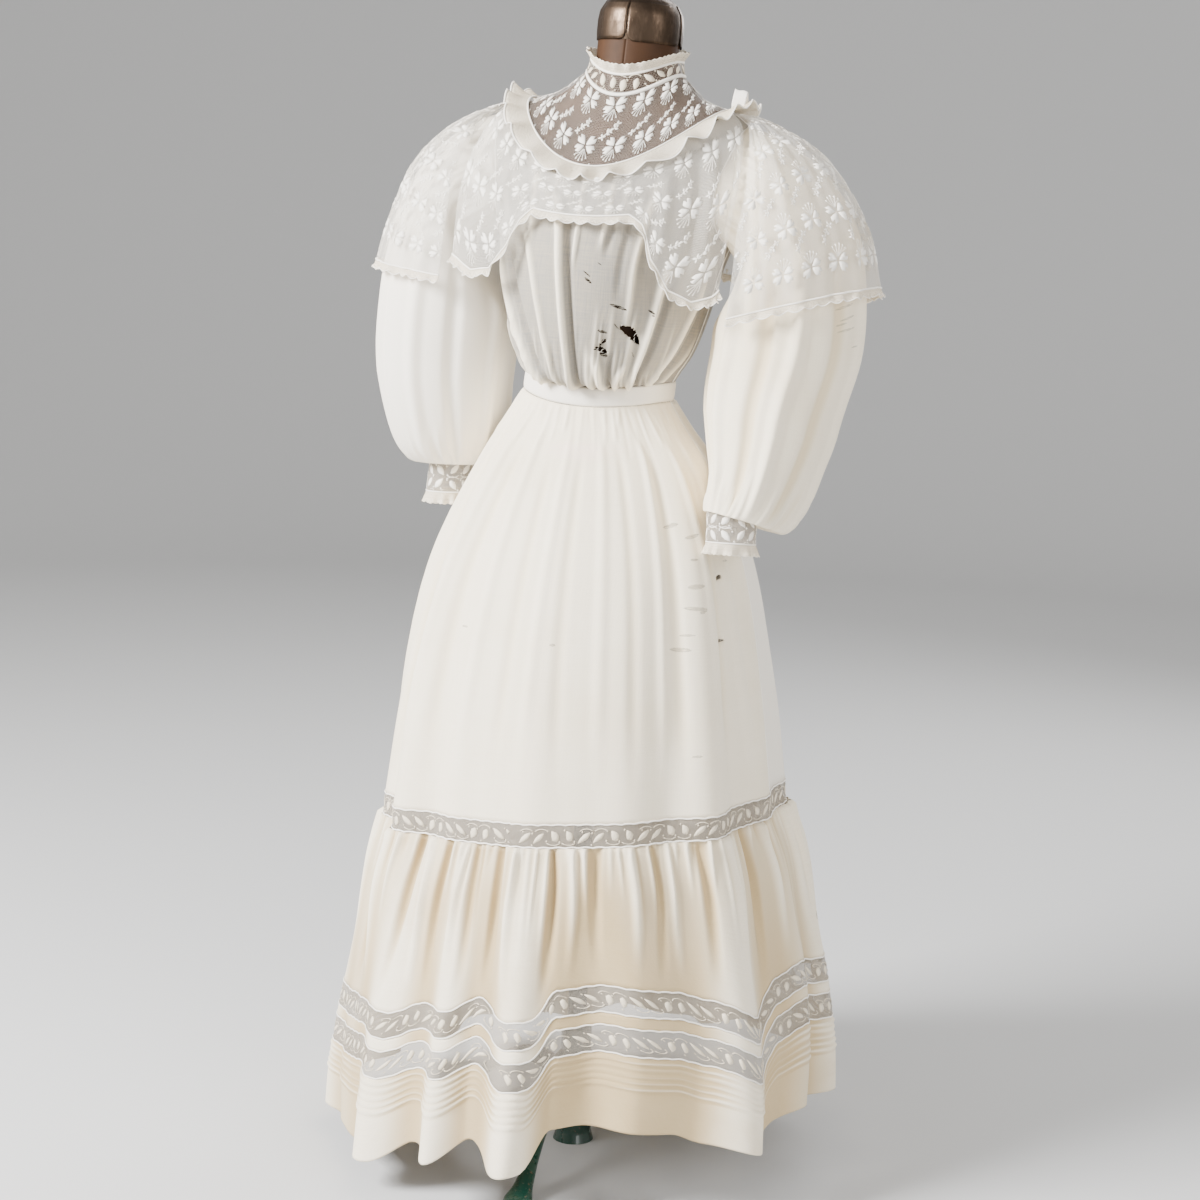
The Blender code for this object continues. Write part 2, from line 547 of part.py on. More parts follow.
def build_collar():
    """The standing band, and a waved ruffle flaring from its top edge."""
    turn = closed_angles(24)
    lift = np.array([0.0, 0.0, SEAM])
    low = ring_surface(BODICE)(turn, np.full(turn.shape, float(COLLAR_FOOT))) + lift
    inward = np.stack([-np.sin(turn), np.cos(turn), 0 * turn], axis=-1)
    high = low + inward * COLLAR_TAPER + [0, 0, COLLAR_HEIGHT]
    sheet("collar", np.array([low, high]), "lace_net", around=True)
    turn = closed_angles(40)
    inward = np.stack([-np.sin(turn), np.cos(turn), 0 * turn], axis=-1)
    base = ring_surface(BODICE)(turn, np.full(turn.shape, float(COLLAR_FOOT)))
    wave = COLLAR_WAVE * (-1.0) ** np.arange(40)
    bottom = base + inward * COLLAR_TAPER + [0, 0, COLLAR_HEIGHT + 2 * SEAM]
    flare = COLLAR_TAPER - COLLAR_RUFFLE_FLARE + wave
    top = base + inward * flare[:, None] + [0, 0, COLLAR_HEIGHT + COLLAR_RUFFLE_HEIGHT]
    sheet("collar_ruffle", np.array([bottom, top]), "lace_edging", around=True)


def build_neck_ruffle():
    """A frill over the seam of yoke and cape collar, standing away from both."""
    turn = closed_angles(48)
    wave = NECK_WAVE * (-1.0) ** np.arange(48)
    base = ring_surface(BODICE)
    over_shoulder = np.sin(turn) ** 4
    inner = moved_out(base, turn, NECKLINE + NECK_RUFFLE_IN + 0 * turn, LAY + 0 * turn)
    off = RUFFLE_MIDDLE_OFF + SHOULDER_MIDDLE_OFF * over_shoulder + wave / 3
    middle = moved_out(base, turn, NECKLINE + 0 * turn, off)
    off = RUFFLE_EDGE_OFF + SHOULDER_EDGE_OFF * over_shoulder + wave
    lower = moved_out(base, turn, NECKLINE - NECK_RUFFLE_OUT * (1 - 0.3 * over_shoulder), off)
    sheet("neckline_ruffle", np.array([lower, middle, inner]), "lace_edging", around=True)


def cape_surface(rows, facing):
    """Cape collar front or back: rows go down, and reach falls off with the squared cosine."""
    def surface(turn, at):
        half_width, reach, side_reach, z_middle, z_side = np.moveaxis(smooth(rows, at), -1, 0)
        along = np.cos(turn)
        flat = np.clip(at / 2, 0.0, 1.0)
        share = along * (1 - flat) + along**2 * flat
        level = z_side + (z_middle - z_side) * along**2
        out = facing * (side_reach + (reach - side_reach) * share)
        return np.stack([half_width * np.sin(turn), -out, level], axis=-1)
    return surface


def build_cape():
    """Front, back and two sleeve capes; each lower edge ends in a narrow waved frill."""
    for name, rows, edge, facing in (("cape_front", CAPE_FRONT, FRONT_EDGE, 1),
                                     ("cape_back", CAPE_BACK, BACK_EDGE, -1)):
        turn = np.radians(np.linspace(-88, 88, 23))
        reach = np.interp(turn, np.radians([spot.turn for spot in edge]), [spot.reach for spot in edge])
        share = np.linspace(0.0, 1.0, 6)
        at = 0.02 + share[:, None] * (reach - 0.02)
        points = cape_surface(rows, facing)(turn + 0 * at, at)
        wave = CAPE_WAVE * (-1.0) ** np.arange(23)
        away = np.stack([np.sin(turn), -facing * np.cos(turn), 0 * turn], axis=-1)
        frill = points[-1] + away * (FRILL_OUT + wave)[:, None] - [0, 0, FRILL_DROP]
        grid = np.concatenate([points, frill[None]])[::-1]
        sheet(name, grid if facing > 0 else grid[:, ::-1], "lace_net")
    for side, name in ((RIGHT, "right"), (LEFT, "left")):
        phi = np.radians(np.linspace(-88, 88, 15))
        rings = []
        for row in SLEEVE_CAPE[side]:
            x = row.x_side + (row.x_crest - row.x_side) * np.cos(phi)
            z = row.z_side + (row.z_crest - row.z_side) * np.cos(phi)
            rings.append(np.stack([side * x, -row.y_side * np.sin(phi), z], axis=-1))
        rings = smooth(rings, np.linspace(0.03, len(rings) - 1, 8))
        wave = CAPE_WAVE * (-1.0) ** np.arange(15)
        away = np.stack([side * np.cos(phi), -np.sin(phi), 0 * phi], axis=-1)
        frill = rings[-1] + away * (FRILL_OUT + wave)[:, None] - [0, 0, FRILL_DROP]
        grid = np.concatenate([rings, frill[None]])
        sheet(f"sleeve_cape_{name}", grid if side > 0 else grid[:, ::-1], "lace_net")


def build_sleeves():
    for side, name in ((RIGHT, "right"), (LEFT, "left")):
        phi = side * closed_angles(20)
        rings = sleeve_rings(side, phi)
        last = len(rings) - 1
        at = np.array([0, 0.5, 1, 2, 3, 4, 5.5, 7, 8, 9, last - 0.01])
        points = smooth(rings, at)
        middle = points.mean(axis=1, keepdims=True)
        gathers = np.interp(at, [0, 0.5, 1, 3, 8, 9, last], [0, 0.8, 1, 0, 0, 1, 0])
        outward = (points - middle) / np.linalg.norm(points - middle, axis=-1, keepdims=True)
        points = points + outward * (GATHER * gathers[:, None] * (-1.0) ** np.arange(20))[..., None]
        sheet(f"sleeve_{name}", points, "voile", around=True)
        build_cuff(side, name)


def build_cuff(side, name):
    """A straight cuff below the sleeve's last ring, and a waved ruffle below the cuff."""
    foot = SLEEVE_LOW[side][-1]
    top = foot._replace(z=foot.z - 1.5 * SEAM, turn=90)
    low = top._replace(x=top.x + CUFF_DRIFT_X, y=top.y + CUFF_DRIFT_Y, z=top.z - CUFF_DROP[side])
    rings = np.array(section_rings(side, [top, low], side * closed_angles(16)))
    sheet(f"cuff_{name}", rings, "lace_net", around=True)
    phi = side * closed_angles(24)
    high = low._replace(z=low.z - SEAM)
    flared = low._replace(across=low.across + RUFFLE_FLARE, deep=low.deep + RUFFLE_FLARE)
    rings = np.array(section_rings(side, [high, flared._replace(z=low.z - RUFFLE_DROP)], phi))
    away = rings[1] - rings[1].mean(axis=0)
    away /= np.linalg.norm(away, axis=1, keepdims=True)
    rings[1] += away * (CUFF_WAVE * (-1.0) ** np.arange(24))[:, None]
    sheet(f"cuff_ruffle_{name}", rings, "lace_edging", around=True)


def build_waistband():
    """A doubled band between the bodice and the skirt, a little proud of both."""
    turn = closed_angles(44)
    low = ring_surface(SKIRT)(turn, np.full(turn.shape, float(WAIST))) + [0, 0, SEAM / 2]
    high = ring_surface(BODICE)(turn, np.zeros(turn.shape)) - [0, 0, SEAM / 2]
    proud = np.stack([np.sin(turn), -np.cos(turn), 0 * turn], axis=-1) * BAND_PROUD
    sheet("waistband", np.array([low + proud, high + proud]), "voile", around=True, wall=BAND_WALL)


def skirt_band(name, low, high, steps, columns, look, gathers=0.0):
    """A band right round the skirt between two seams, gathered at its upper edge if asked."""
    turn = closed_angles(columns)
    at = between(SKIRT, low, high, steps)
    points = skirt_surface(turn + 0 * at[:, None], at[:, None] + 0 * turn)
    if gathers:
        fade = np.interp(at, [low, high - 1.5, high - 0.4, high], [0, 0.25, 1, 0.35])
        push = gathers * fade[:, None] * (-1.0) ** np.arange(columns)
        points = points + push[..., None] * np.stack([np.sin(turn), -np.cos(turn), 0 * turn], axis=-1)
    sheet(name, points, look, around=True)


def build_skirt():
    at = between(SKIRT, LACE_1_TOP, WAIST, 10)
    gap = SEAM / SKIRT[WAIST].half_width
    share = np.linspace(-1, 1, 23) * (QUARTER - gap)
    front = sheet("skirt_front", skirt_surface(share + 0 * at[:, None], at[:, None] + 0 * share), "voile")
    cut(front, skirt_surface, SKIRT_RIPS, row_at_level(SKIRT, radians(70)))
    turn = pi + share
    sheet("skirt_back", skirt_surface(turn + 0 * at[:, None], at[:, None] + 0 * turn), "voile")
    skirt_band("lace_band_1", LACE_1, LACE_1_TOP, 1, 44, "lace_net")
    skirt_band("flounce", LACE_2_TOP, LACE_1, 4, COLUMNS, "voile", GATHER)
    skirt_band("lace_band_2", LACE_2, LACE_2_TOP, 1, COLUMNS, "lace_net")
    skirt_band("flounce_strip", LACE_3_TOP, LACE_2, 1, COLUMNS, "voile")
    skirt_band("lace_band_3", LACE_3, LACE_3_TOP, 1, COLUMNS, "lace_net")
    skirt_band("hem_panel", HEM, LACE_3, 2, COLUMNS, "voile")


def build_shoulder_loop():
    """A loop of narrow ribbon that stands on the wearer's left shoulder."""
    angle = np.radians(np.linspace(-60, 240, 11))
    x = 0.1500 + 0.0090 * np.cos(angle)
    z = 1.4264 + 0.0120 * np.sin(angle)
    edges = [np.stack([x, np.full(x.shape, y), z], axis=-1) for y in (-0.014, -0.002)]
    sheet("shoulder_loop", np.array(edges)[:, ::-1], "lace_edging")


def build_form():
    """The torso and neck inside the dress, one smooth closed body."""
    turn = closed_angles(32)
    rings = [ring_surface(FORM_HIPS)(turn, np.full(turn.shape, float(number)))
             for number in range(len(FORM_HIPS))]
    for number in FORM_ROWS:
        inset = np.interp(number, range(len(FORM_INSETS)), FORM_INSETS)
        rings.append(moved_out(ring_surface(BODICE), turn, number + 0 * turn, -inset + 0 * turn))
    for levels in NECK_LEVELS:
        ring = [Ring(NECK_RADIUS, NECK_RADIUS, NECK_RADIUS, *levels)] * 2
        rings.append(ring_surface(ring)(turn, np.zeros(turn.shape)))
    lofted("form_body", leaned(rings), "form_cover")


def build_stand():
    """The cap on the neck, and the pole, hub and three legs below the form."""
    cap = turned("neck_cap", CAP_PROFILE, "neck_cap")
    cap.location = leaned([0.0, 0.0, NECK_TOP + 0.0003])
    cap.rotation_euler = (0.0, LEAN_X, 0.0)
    bottom = FORM_HIPS[0].z_side
    bm = bmesh.new()
    length = bottom - HUB_TOP - 0.0006
    bmesh.ops.create_cone(bm, cap_ends=True, segments=16, depth=length,
                          radius1=POLE_RADIUS, radius2=POLE_RADIUS)
    pole = solid("stand_pole", bm, "iron")
    pole.location = (0, 0, HUB_TOP + 0.0003 + length / 2)
    height = HUB_TOP - HUB_FOOT
    turned("stand_hub", [(r, HUB_FOOT + share * height) for r, share in HUB_PROFILE], "iron", 16)
    for name, angle in LEG_TURNS.items():
        rings = []
        for part in LEG:
            ring = []
            for step in closed_angles(8) + pi / 8:
                sideways = part.half_width * cos(step) / cos(pi / 8)
                upward = part.half_height * sin(step) / cos(pi / 8)
                ring.append((sideways, -part.reach, max(part.z + upward, 0.0)))
            rings.append(ring)
        leg = lofted(f"stand_leg_{name}", rings, "iron")
        leg.rotation_euler = (0, 0, radians(angle))


clear_scene()
PARTS = collection(OBJECT_NAME)
CUTTERS = collection("rip_cutters")
build_form()
build_stand()
build_bodice()
build_yoke()
build_collar()
build_neck_ruffle()
build_cape()
build_sleeves()
build_waistband()
build_skirt()
build_shoulder_loop()
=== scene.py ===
"""Looks of the lace dress on its dress form: cloth, lace, gathers, tears and the stand's finishes.

Metres, +Z up, the floor at z = 0. The front is toward -Y and the wearer's left toward +X.
Cloth is a thin wall on a grid of outer points. Rows of a grid go upward and its columns go
toward the wearer's left at the front, and its UV map is in metres along the cloth.
"""
from collections import namedtuple
from math import cos, pi, radians, sin

import bpy
import numpy as np
from mathutils import Matrix


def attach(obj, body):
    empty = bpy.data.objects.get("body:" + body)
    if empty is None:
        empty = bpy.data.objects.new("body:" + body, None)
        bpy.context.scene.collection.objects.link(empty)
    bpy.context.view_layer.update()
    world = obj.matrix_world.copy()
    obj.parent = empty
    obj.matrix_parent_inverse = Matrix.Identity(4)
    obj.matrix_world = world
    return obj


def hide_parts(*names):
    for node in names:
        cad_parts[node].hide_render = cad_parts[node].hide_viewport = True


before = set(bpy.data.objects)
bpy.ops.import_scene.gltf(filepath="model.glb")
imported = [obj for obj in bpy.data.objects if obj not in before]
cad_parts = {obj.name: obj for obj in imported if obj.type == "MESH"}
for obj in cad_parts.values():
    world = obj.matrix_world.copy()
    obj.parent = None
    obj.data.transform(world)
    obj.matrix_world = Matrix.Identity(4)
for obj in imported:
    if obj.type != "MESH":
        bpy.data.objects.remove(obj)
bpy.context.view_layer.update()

bl_info = {
    "name": "Lace Dress",
    "version": (1, 0, 0),
    "blender": (4, 5, 0),
    "location": "3D View > Sidebar > Dress",
    "description": "Builds a lace dress with its gathers, lace and tears on a dress form",
    "category": "Add Mesh",
}

BODY = "root"
SEAM = 0.0004         # the gap at a seam
LAY = 0.0018          # how far a trim's inner edge stands off the cloth below it
BEND_GAP = 0.012      # rows left free where two walls meet at an angle
FULL_FOLD = 0.006     # the crease height that counts as a full ridge in the painted fold shade
RIGHT, LEFT = -1, 1
QUARTER = pi / 2


# Above the waist the body leans to the wearer's left and back, its shoulders tilt with it, and
# the skirt hangs a little lower on the wearer's right.
WAIST_LEVEL, HIP_LEVEL = 1.03, 0.93
LEAN_X, LEAN_Y = 0.056, 0.082
SKIRT_TILT = 0.060
BODY = "root"
SEAM = 0.0004         # the gap at a seam
LAY = 0.0018          # how far a trim's inner edge stands off the cloth below it
BEND_GAP = 0.012      # rows left free where two walls meet at an angle
FULL_FOLD = 0.006     # the crease height that counts as a full ridge in the painted fold shade
RIGHT, LEFT = -1, 1
QUARTER = pi / 2
UP = np.array([0.0, 0.0, 1.0])


def table(kind, rows):
    """A table's rows of numbers with its column names."""
    return [kind(*row) for row in rows]


Ring = namedtuple("Ring", "half_width front back z_front z_side z_back")
BODICE = table(Ring, [
    (0.1008, 0.0845, 0.0815, 1.0464, 1.0594, 1.0624),   # waist
    (0.107, 0.112, 0.089, 1.054, 1.072, 1.076),   # pouch over the band
    (0.123, 0.131, 0.1, 1.096, 1.102, 1.108),
    (0.137, 0.147, 0.11, 1.15, 1.152, 1.162),
    (0.146, 0.156, 0.117, 1.205, 1.202, 1.216),   # bust
    (0.16, 0.151, 0.122, 1.25, 1.25, 1.268),   # underarm
    (0.174, 0.144, 0.124, 1.279, 1.312, 1.314),
    (0.178, 0.138, 0.122, 1.301, 1.374, 1.346),   # shoulder tip
    (0.143, 0.132, 0.116, 1.318, 1.408, 1.368),   # neckline
    (0.099, 0.098, 0.096, 1.368, 1.423, 1.412),
    (0.064, 0.062, 0.066, 1.419, 1.452, 1.456),   # foot of the collar
])
NECKLINE, COLLAR_FOOT = 8, 10
SKIRT = table(Ring, [
    (0.316, 0.304, 0.38, 0.108, 0.074, 0.066),   # hem
    (0.319, 0.299, 0.382, 0.17, 0.129, 0.122),
    (0.318, 0.293, 0.38, 0.229, 0.182, 0.176),   # third lace, lower seam
    (0.316, 0.29, 0.375, 0.264, 0.217, 0.211),
    (0.314, 0.288, 0.372, 0.28, 0.233, 0.227),   # second lace, lower seam
    (0.309, 0.285, 0.365, 0.314, 0.267, 0.261),
    (0.296, 0.278, 0.345, 0.368, 0.338, 0.335),
    (0.282, 0.268, 0.323, 0.424, 0.412, 0.412),
    (0.26, 0.252, 0.296, 0.474, 0.475, 0.479),   # first lace, lower seam
    (0.256, 0.249, 0.291, 0.503, 0.504, 0.508),
    (0.245, 0.237, 0.276, 0.6, 0.6, 0.6),
    (0.234, 0.223, 0.262, 0.68, 0.68, 0.68),
    (0.222, 0.204, 0.246, 0.755, 0.755, 0.755),
    (0.209, 0.184, 0.226, 0.815, 0.815, 0.815),
    (0.193, 0.162, 0.203, 0.865, 0.865, 0.865),
    (0.172, 0.138, 0.176, 0.915, 0.915, 0.915),   # hip
    (0.149, 0.115, 0.146, 0.957, 0.96, 0.962),
    (0.123, 0.096, 0.113, 0.99, 0.999, 1.003),
    (0.1008, 0.0845, 0.0815, 1.0212, 1.0342, 1.0372),   # waist
])
HEM, LACE_3, LACE_3_TOP, LACE_2, LACE_2_TOP, LACE_1, LACE_1_TOP, WAIST = 0, 2, 3, 4, 5, 8, 9, 18
Fold = namedtuple("Fold", "turn width height")
FLOUNCE_FOLDS = table(Fold, [
    (-72, 12, 0.032), (-53, 12, 0.01), (-31, 11, 0.042), (-12, 7, 0.038), (6, 8, 0.045), (23, 12, -0.028),
    (60, 12, 0.044), (88, 10, 0.016), (105, 8, 0.036), (123, 9, 0.04), (142, 9, 0.044), (160, 8, 0.036),
    (177, 8, 0.046), (195, 9, 0.038), (213, 8, 0.044), (231, 9, 0.034), (250, 8, 0.03), (267, 8, 0.026),
])
SKIRT_FOLDS = table(Fold, [
    (-63, 13, 0.016), (-41, 13, 0.026), (-20, 8, 0.004), (5, 10, 0.004), (33, 12, 0.006), (57, 13, 0.024),
    (86, 10, 0.008), (108, 10, 0.012), (129, 10, 0.017), (150, 10, 0.02), (170, 9, 0.024), (189, 9, 0.024),
    (208, 10, 0.02), (229, 10, 0.019), (250, 11, 0.016), (272, 10, 0.012),
])
# The flounce is gathered unevenly, so the lace bands and the hem hang this much below their rings.
Hang = namedtuple("Hang", "turn bands hem")
FLOUNCE_HANG = table(Hang, [
    (-84, 0.034, 0.018), (-57, 0.046, 0.027), (-42, 0.046, 0.038), (-29, 0.058, 0.046), (-20, 0.044, 0.02),
    (-12, 0.048, 0.032), (-4, 0.03, 0.004), (2, 0.054, 0.036), (9, 0.05, 0.032), (15, 0.012, -0.016),
    (28, 0.002, -0.018), (43, 0.003, -0.016), (51, 0.01, -0.004), (66, 0.036, 0.012), (77, -0.006, -0.008),
    (86, -0.018, -0.012), (105, 0.006, 0.002), (114, 0.0, 0.0), (142, 0.02, 0.016), (151, 0.0, 0.0),
    (177, 0.022, 0.018), (186, 0.002, 0.0), (213, 0.02, 0.016), (222, 0.004, 0.0), (250, 0.026, 0.014),
    (259, 0.018, 0.008),
])
Cape = namedtuple("Cape", "half_width front_reach side_reach z_front z_side")
CAPE_FRONT = table(Cape, [
    (0.145, 0.134, 0.006, 1.318, 1.408), (0.169, 0.147, 0.04, 1.301, 1.388),
    (0.183, 0.156, 0.074, 1.281, 1.345), (0.188, 0.164, 0.096, 1.254, 1.293),
    (0.186, 0.168, 0.106, 1.212, 1.235), (0.183, 0.169, 0.108, 1.16, 1.172),
])
CAPE_BACK = table(Cape, [
    (0.145, 0.118, 0.006, 1.368, 1.408), (0.166, 0.129, 0.04, 1.348, 1.388),
    (0.177, 0.135, 0.072, 1.318, 1.345), (0.181, 0.138, 0.092, 1.278, 1.293),
    (0.18, 0.14, 0.101, 1.23, 1.235), (0.176, 0.14, 0.102, 1.176, 1.172),
])
CapeEdge = namedtuple("CapeEdge", "turn reach")
FRONT_EDGE = table(CapeEdge, [
    (-90, 4.55), (-70, 4.6), (-52, 4.75), (-38, 4.6), (-29, 4.0), (-23, 3.2), (-18, 2.72), (22, 2.72),
    (28, 3.1), (34, 4.05), (44, 4.75), (58, 5.0), (75, 4.9), (90, 4.75),
])
BACK_EDGE = table(CapeEdge, [
    (-90, 4.8), (-45, 4.55), (0, 4.3), (45, 4.55), (90, 4.8),
])
Crest = namedtuple("Crest", "x_crest z_crest x_side y_side z_side")
SLEEVE_CAPE = {
    RIGHT: table(Crest, [
        (0.144, 1.4088, 0.1438, 0.005, 1.408), (0.17, 1.404, 0.169, 0.032, 1.396),
        (0.203, 1.391, 0.185, 0.068, 1.36), (0.248, 1.366, 0.194, 0.099, 1.312),
        (0.292, 1.318, 0.193, 0.111, 1.26), (0.318, 1.25, 0.192, 0.113, 1.212),
        (0.334, 1.182, 0.191, 0.116, 1.17),
    ]),
    LEFT: table(Crest, [
        (0.144, 1.4088, 0.1438, 0.005, 1.408), (0.174, 1.406, 0.17, 0.032, 1.398),
        (0.212, 1.393, 0.187, 0.066, 1.362), (0.26, 1.369, 0.197, 0.096, 1.312),
        (0.304, 1.324, 0.194, 0.108, 1.255), (0.34, 1.268, 0.195, 0.113, 1.205),
        (0.36, 1.206, 0.194, 0.116, 1.15),
    ]),
}
ARMHOLE_ROW, ARMHOLE_HALF_ROWS = 6.15, 1.30
ARMHOLE_FRONT, ARMHOLE_BACK = radians(30), radians(26)
# Sleeve rings: the axis goes outward at turn 0 and straight down at 90; pitch lifts the front.
Section = namedtuple("Section", "x y z turn pitch across deep")
SLEEVE_TOP = {
    RIGHT: table(Section, [
        (0.204, -0.003, 1.29, 14, 0, 0.081, 0.08), (0.221, 0.0, 1.25, 34, 0, 0.092, 0.091),
        (0.23, 0.002, 1.208, 54, 0, 0.096, 0.095), (0.233, 0.004, 1.16, 73, 0, 0.095, 0.096),
        (0.234, 0.006, 1.11, 86, 0, 0.094, 0.096),
    ]),
    LEFT: table(Section, [
        (0.206, -0.003, 1.29, 14, 0, 0.083, 0.08), (0.228, 0.0, 1.252, 34, 0, 0.096, 0.091),
        (0.241, 0.002, 1.211, 54, 0, 0.101, 0.095), (0.246, 0.004, 1.164, 73, 0, 0.099, 0.096),
        (0.247, 0.006, 1.113, 86, 0, 0.097, 0.096),
    ]),
}
SLEEVE_LOW = {
    RIGHT: table(Section, [
        (0.235, 0.012, 1.056, 90, 0, 0.092, 0.094), (0.233, 0.02, 0.994, 90, 2, 0.084, 0.089),
        (0.232, 0.03, 0.948, 90, 3, 0.07, 0.076), (0.229, 0.038, 0.926, 90, 2, 0.052, 0.056),
        (0.227, 0.042, 0.93, 90, 0, 0.032, 0.036),
    ]),
    LEFT: table(Section, [
        (0.24, 0.004, 1.052, 90, 2, 0.091, 0.094), (0.239, -0.01, 0.985, 94, 8, 0.079, 0.088),
        (0.238, -0.036, 0.922, 100, 14, 0.064, 0.08), (0.231, -0.073, 0.886, 103, 13, 0.05, 0.061),
        (0.221, -0.091, 0.9, 90, 6, 0.031, 0.034),
    ]),
}
CUFF_DROP = {RIGHT: 0.042, LEFT: 0.040}
CUFF_DRIFT_X, CUFF_DRIFT_Y = 0.002, -0.006
RUFFLE_DROP, RUFFLE_FLARE = 0.016, 0.004
BAND_PROUD = 0.0014
COLLAR_HEIGHT, COLLAR_TAPER = 0.026, 0.0035
COLLAR_RUFFLE_HEIGHT, COLLAR_RUFFLE_FLARE = 0.018, 0.0065
# The neckline ruffle's edges in rows from the neckline, and how far each stands off the cloth.
NECK_RUFFLE_IN, NECK_RUFFLE_OUT = 0.16, 0.70
RUFFLE_MIDDLE_OFF, RUFFLE_EDGE_OFF = 0.0052, 0.0118
SHOULDER_MIDDLE_OFF, SHOULDER_EDGE_OFF = 0.003, 0.014
COLLAR_WAVE, NECK_WAVE, CAPE_WAVE, CUFF_WAVE = 0.0025, 0.0022, 0.0028, 0.0025
FRILL_DROP, FRILL_OUT = 0.010, 0.003
# The form stands inside the bodice by these insets, one for each bodice ring.
FORM_INSETS = [0.0022, 0.012, 0.014, 0.013, 0.011, 0.010, 0.011, 0.011, 0.0070, 0.0036, 0.0030]
FORM_ROWS = [1.0, 2.0, 3.0, 4.0, 5.0, 6.0, 7.0, 7.5, 8.0, 8.5, 9.0, 9.5, 10.0]
FORM_HIPS = table(Ring, [
    (0.148, 0.125, 0.15, 0.8, 0.8, 0.8), (0.154, 0.129, 0.156, 0.85, 0.85, 0.85),
    (0.147, 0.12, 0.15, 0.905, 0.905, 0.905), (0.127, 0.102, 0.126, 0.952, 0.955, 0.957),
    (0.108, 0.088, 0.099, 0.988, 0.996, 0.999), (0.0986, 0.0823, 0.0793, 1.018, 1.031, 1.034),
    (0.0986, 0.0823, 0.0793, 1.047, 1.06, 1.063),
])
NECK_RADIUS = 0.0540
NECK_TOP = 1.4905
NECK_LEVELS = [(1.440, 1.466, 1.470), (NECK_TOP, NECK_TOP, NECK_TOP)]
CAP_PROFILE = [(0.0, 0.0660), (0.0140, 0.0650), (0.0310, 0.0605), (0.0450, 0.0515),
               (0.0530, 0.0380), (0.0550, 0.0250), (0.0552, 0.0090), (0.0545, 0.0), (0.0, 0.0)]
POLE_RADIUS = 0.0130
HUB_TOP = 0.170
HUB_PROFILE = [(0.0, 1.0), (0.018, 1.0), (0.021, 0.95), (0.021, 0.75), (0.034, 0.66),
               (0.038, 0.54), (0.034, 0.36), (0.026, 0.26), (0.024, 0.08), (0.028, 0.0), (0.0, 0.0)]
LEG_TURNS = {"front": 5, "left": 125, "right": 245}
LegSection = namedtuple("LegSection", "reach z half_width half_height")
LEG = table(LegSection, [
    (0.0383, 0.09, 0.013, 0.017), (0.08, 0.098, 0.0105, 0.013), (0.13, 0.084, 0.0095, 0.0105),
    (0.185, 0.048, 0.0095, 0.0095), (0.225, 0.018, 0.013, 0.01), (0.248, 0.008, 0.019, 0.008),
    (0.266, 0.007, 0.014, 0.007),
])
# Torn places wide enough to see through: turn and level on the outer surface, slant in degrees.
Rip = namedtuple("Rip", "turn level length width slant")
BODICE_RIPS = table(Rip, [
    (36, 1.117, 0.038, 0.02, -32), (19, 1.098, 0.02, 0.0065, -20), (21, 1.108, 0.015, 0.005, 28),
])
SKIRT_RIPS = table(Rip, [
    (74, 0.852, 0.03, 0.014, 12), (69, 0.805, 0.015, 0.0075, 5), (66, 0.727, 0.022, 0.0055, 8),
])


def smooth(values, at):
    """Rows of values at fractional row numbers, on a Catmull-Rom curve through the rows."""
    values, at = np.asarray(values, float), np.asarray(at, float)
    last = len(values) - 1
    row = np.clip(np.floor(at).astype(int), 0, last - 1)
    part = (at - row).reshape(at.shape + (1,) * (values.ndim - 1))
    start, end = values[row], values[row + 1]
    before = np.where((row > 0).reshape(part.shape), values[np.maximum(row - 1, 0)], 2 * start - end)
    after = np.where((row < last - 1).reshape(part.shape), values[np.minimum(row + 2, last)], 2 * end - start)
    into, out_of = (end - before) / 2, (after - start) / 2
    rise = end - start
    return start + part * (into + part * (3 * rise - 2 * into - out_of + part * (into + out_of - 2 * rise)))


def outward(turn, facing=1):
    """Level unit vectors away from the body's middle; facing -1 swaps front and back."""
    return np.stack([np.sin(turn), -facing * np.cos(turn), 0 * turn], axis=-1)


def eased(share):
    """0 to 1 with a level start and end: three squares less two cubes."""
    return share * share * (3 - 2 * share)


def leaned(point):
    """The body's lean and the skirt's tilt, the same smooth warp for every piece.

    Above the waist a point slides sideways and back in step with its height, and its level drops
    toward the wearer's left; below the hips its level rises toward the left instead.
    """
    x, y, z = np.moveaxis(np.asarray(point, float), -1, 0)
    above = np.maximum(z - WAIST_LEVEL, 0.0)
    upper = np.clip((z - HIP_LEVEL) / (WAIST_LEVEL - HIP_LEVEL), 0.0, 1.0)
    lower = np.clip((HIP_LEVEL - z) / (HIP_LEVEL - SKIRT[LACE_1_TOP].z_side), 0.0, 1.0)
    tilt = SKIRT_TILT * eased(lower) - LEAN_X * eased(upper)
    return np.stack([x + LEAN_X * above, y + LEAN_Y * above, z + tilt * x], axis=-1)


def ring_surface(rows):
    """A surface of tilted rings: turn is the angle from the front toward +X, at the row number.

    Each ring is two half ellipses, and its level goes from the side's to the front's or the
    back's with the squared cosine of the turn.
    """
    def surface(turn, at):
        half_width, front, back, z_front, z_side, z_back = np.moveaxis(smooth(rows, at), -1, 0)
        along = np.cos(turn)
        reach = np.where(along > 0, front, back)
        level = z_side + (np.where(along > 0, z_front, z_back) - z_side) * along**2
        return np.stack([half_width * np.sin(turn), -reach * along, level + 0 * turn], axis=-1)
    return surface


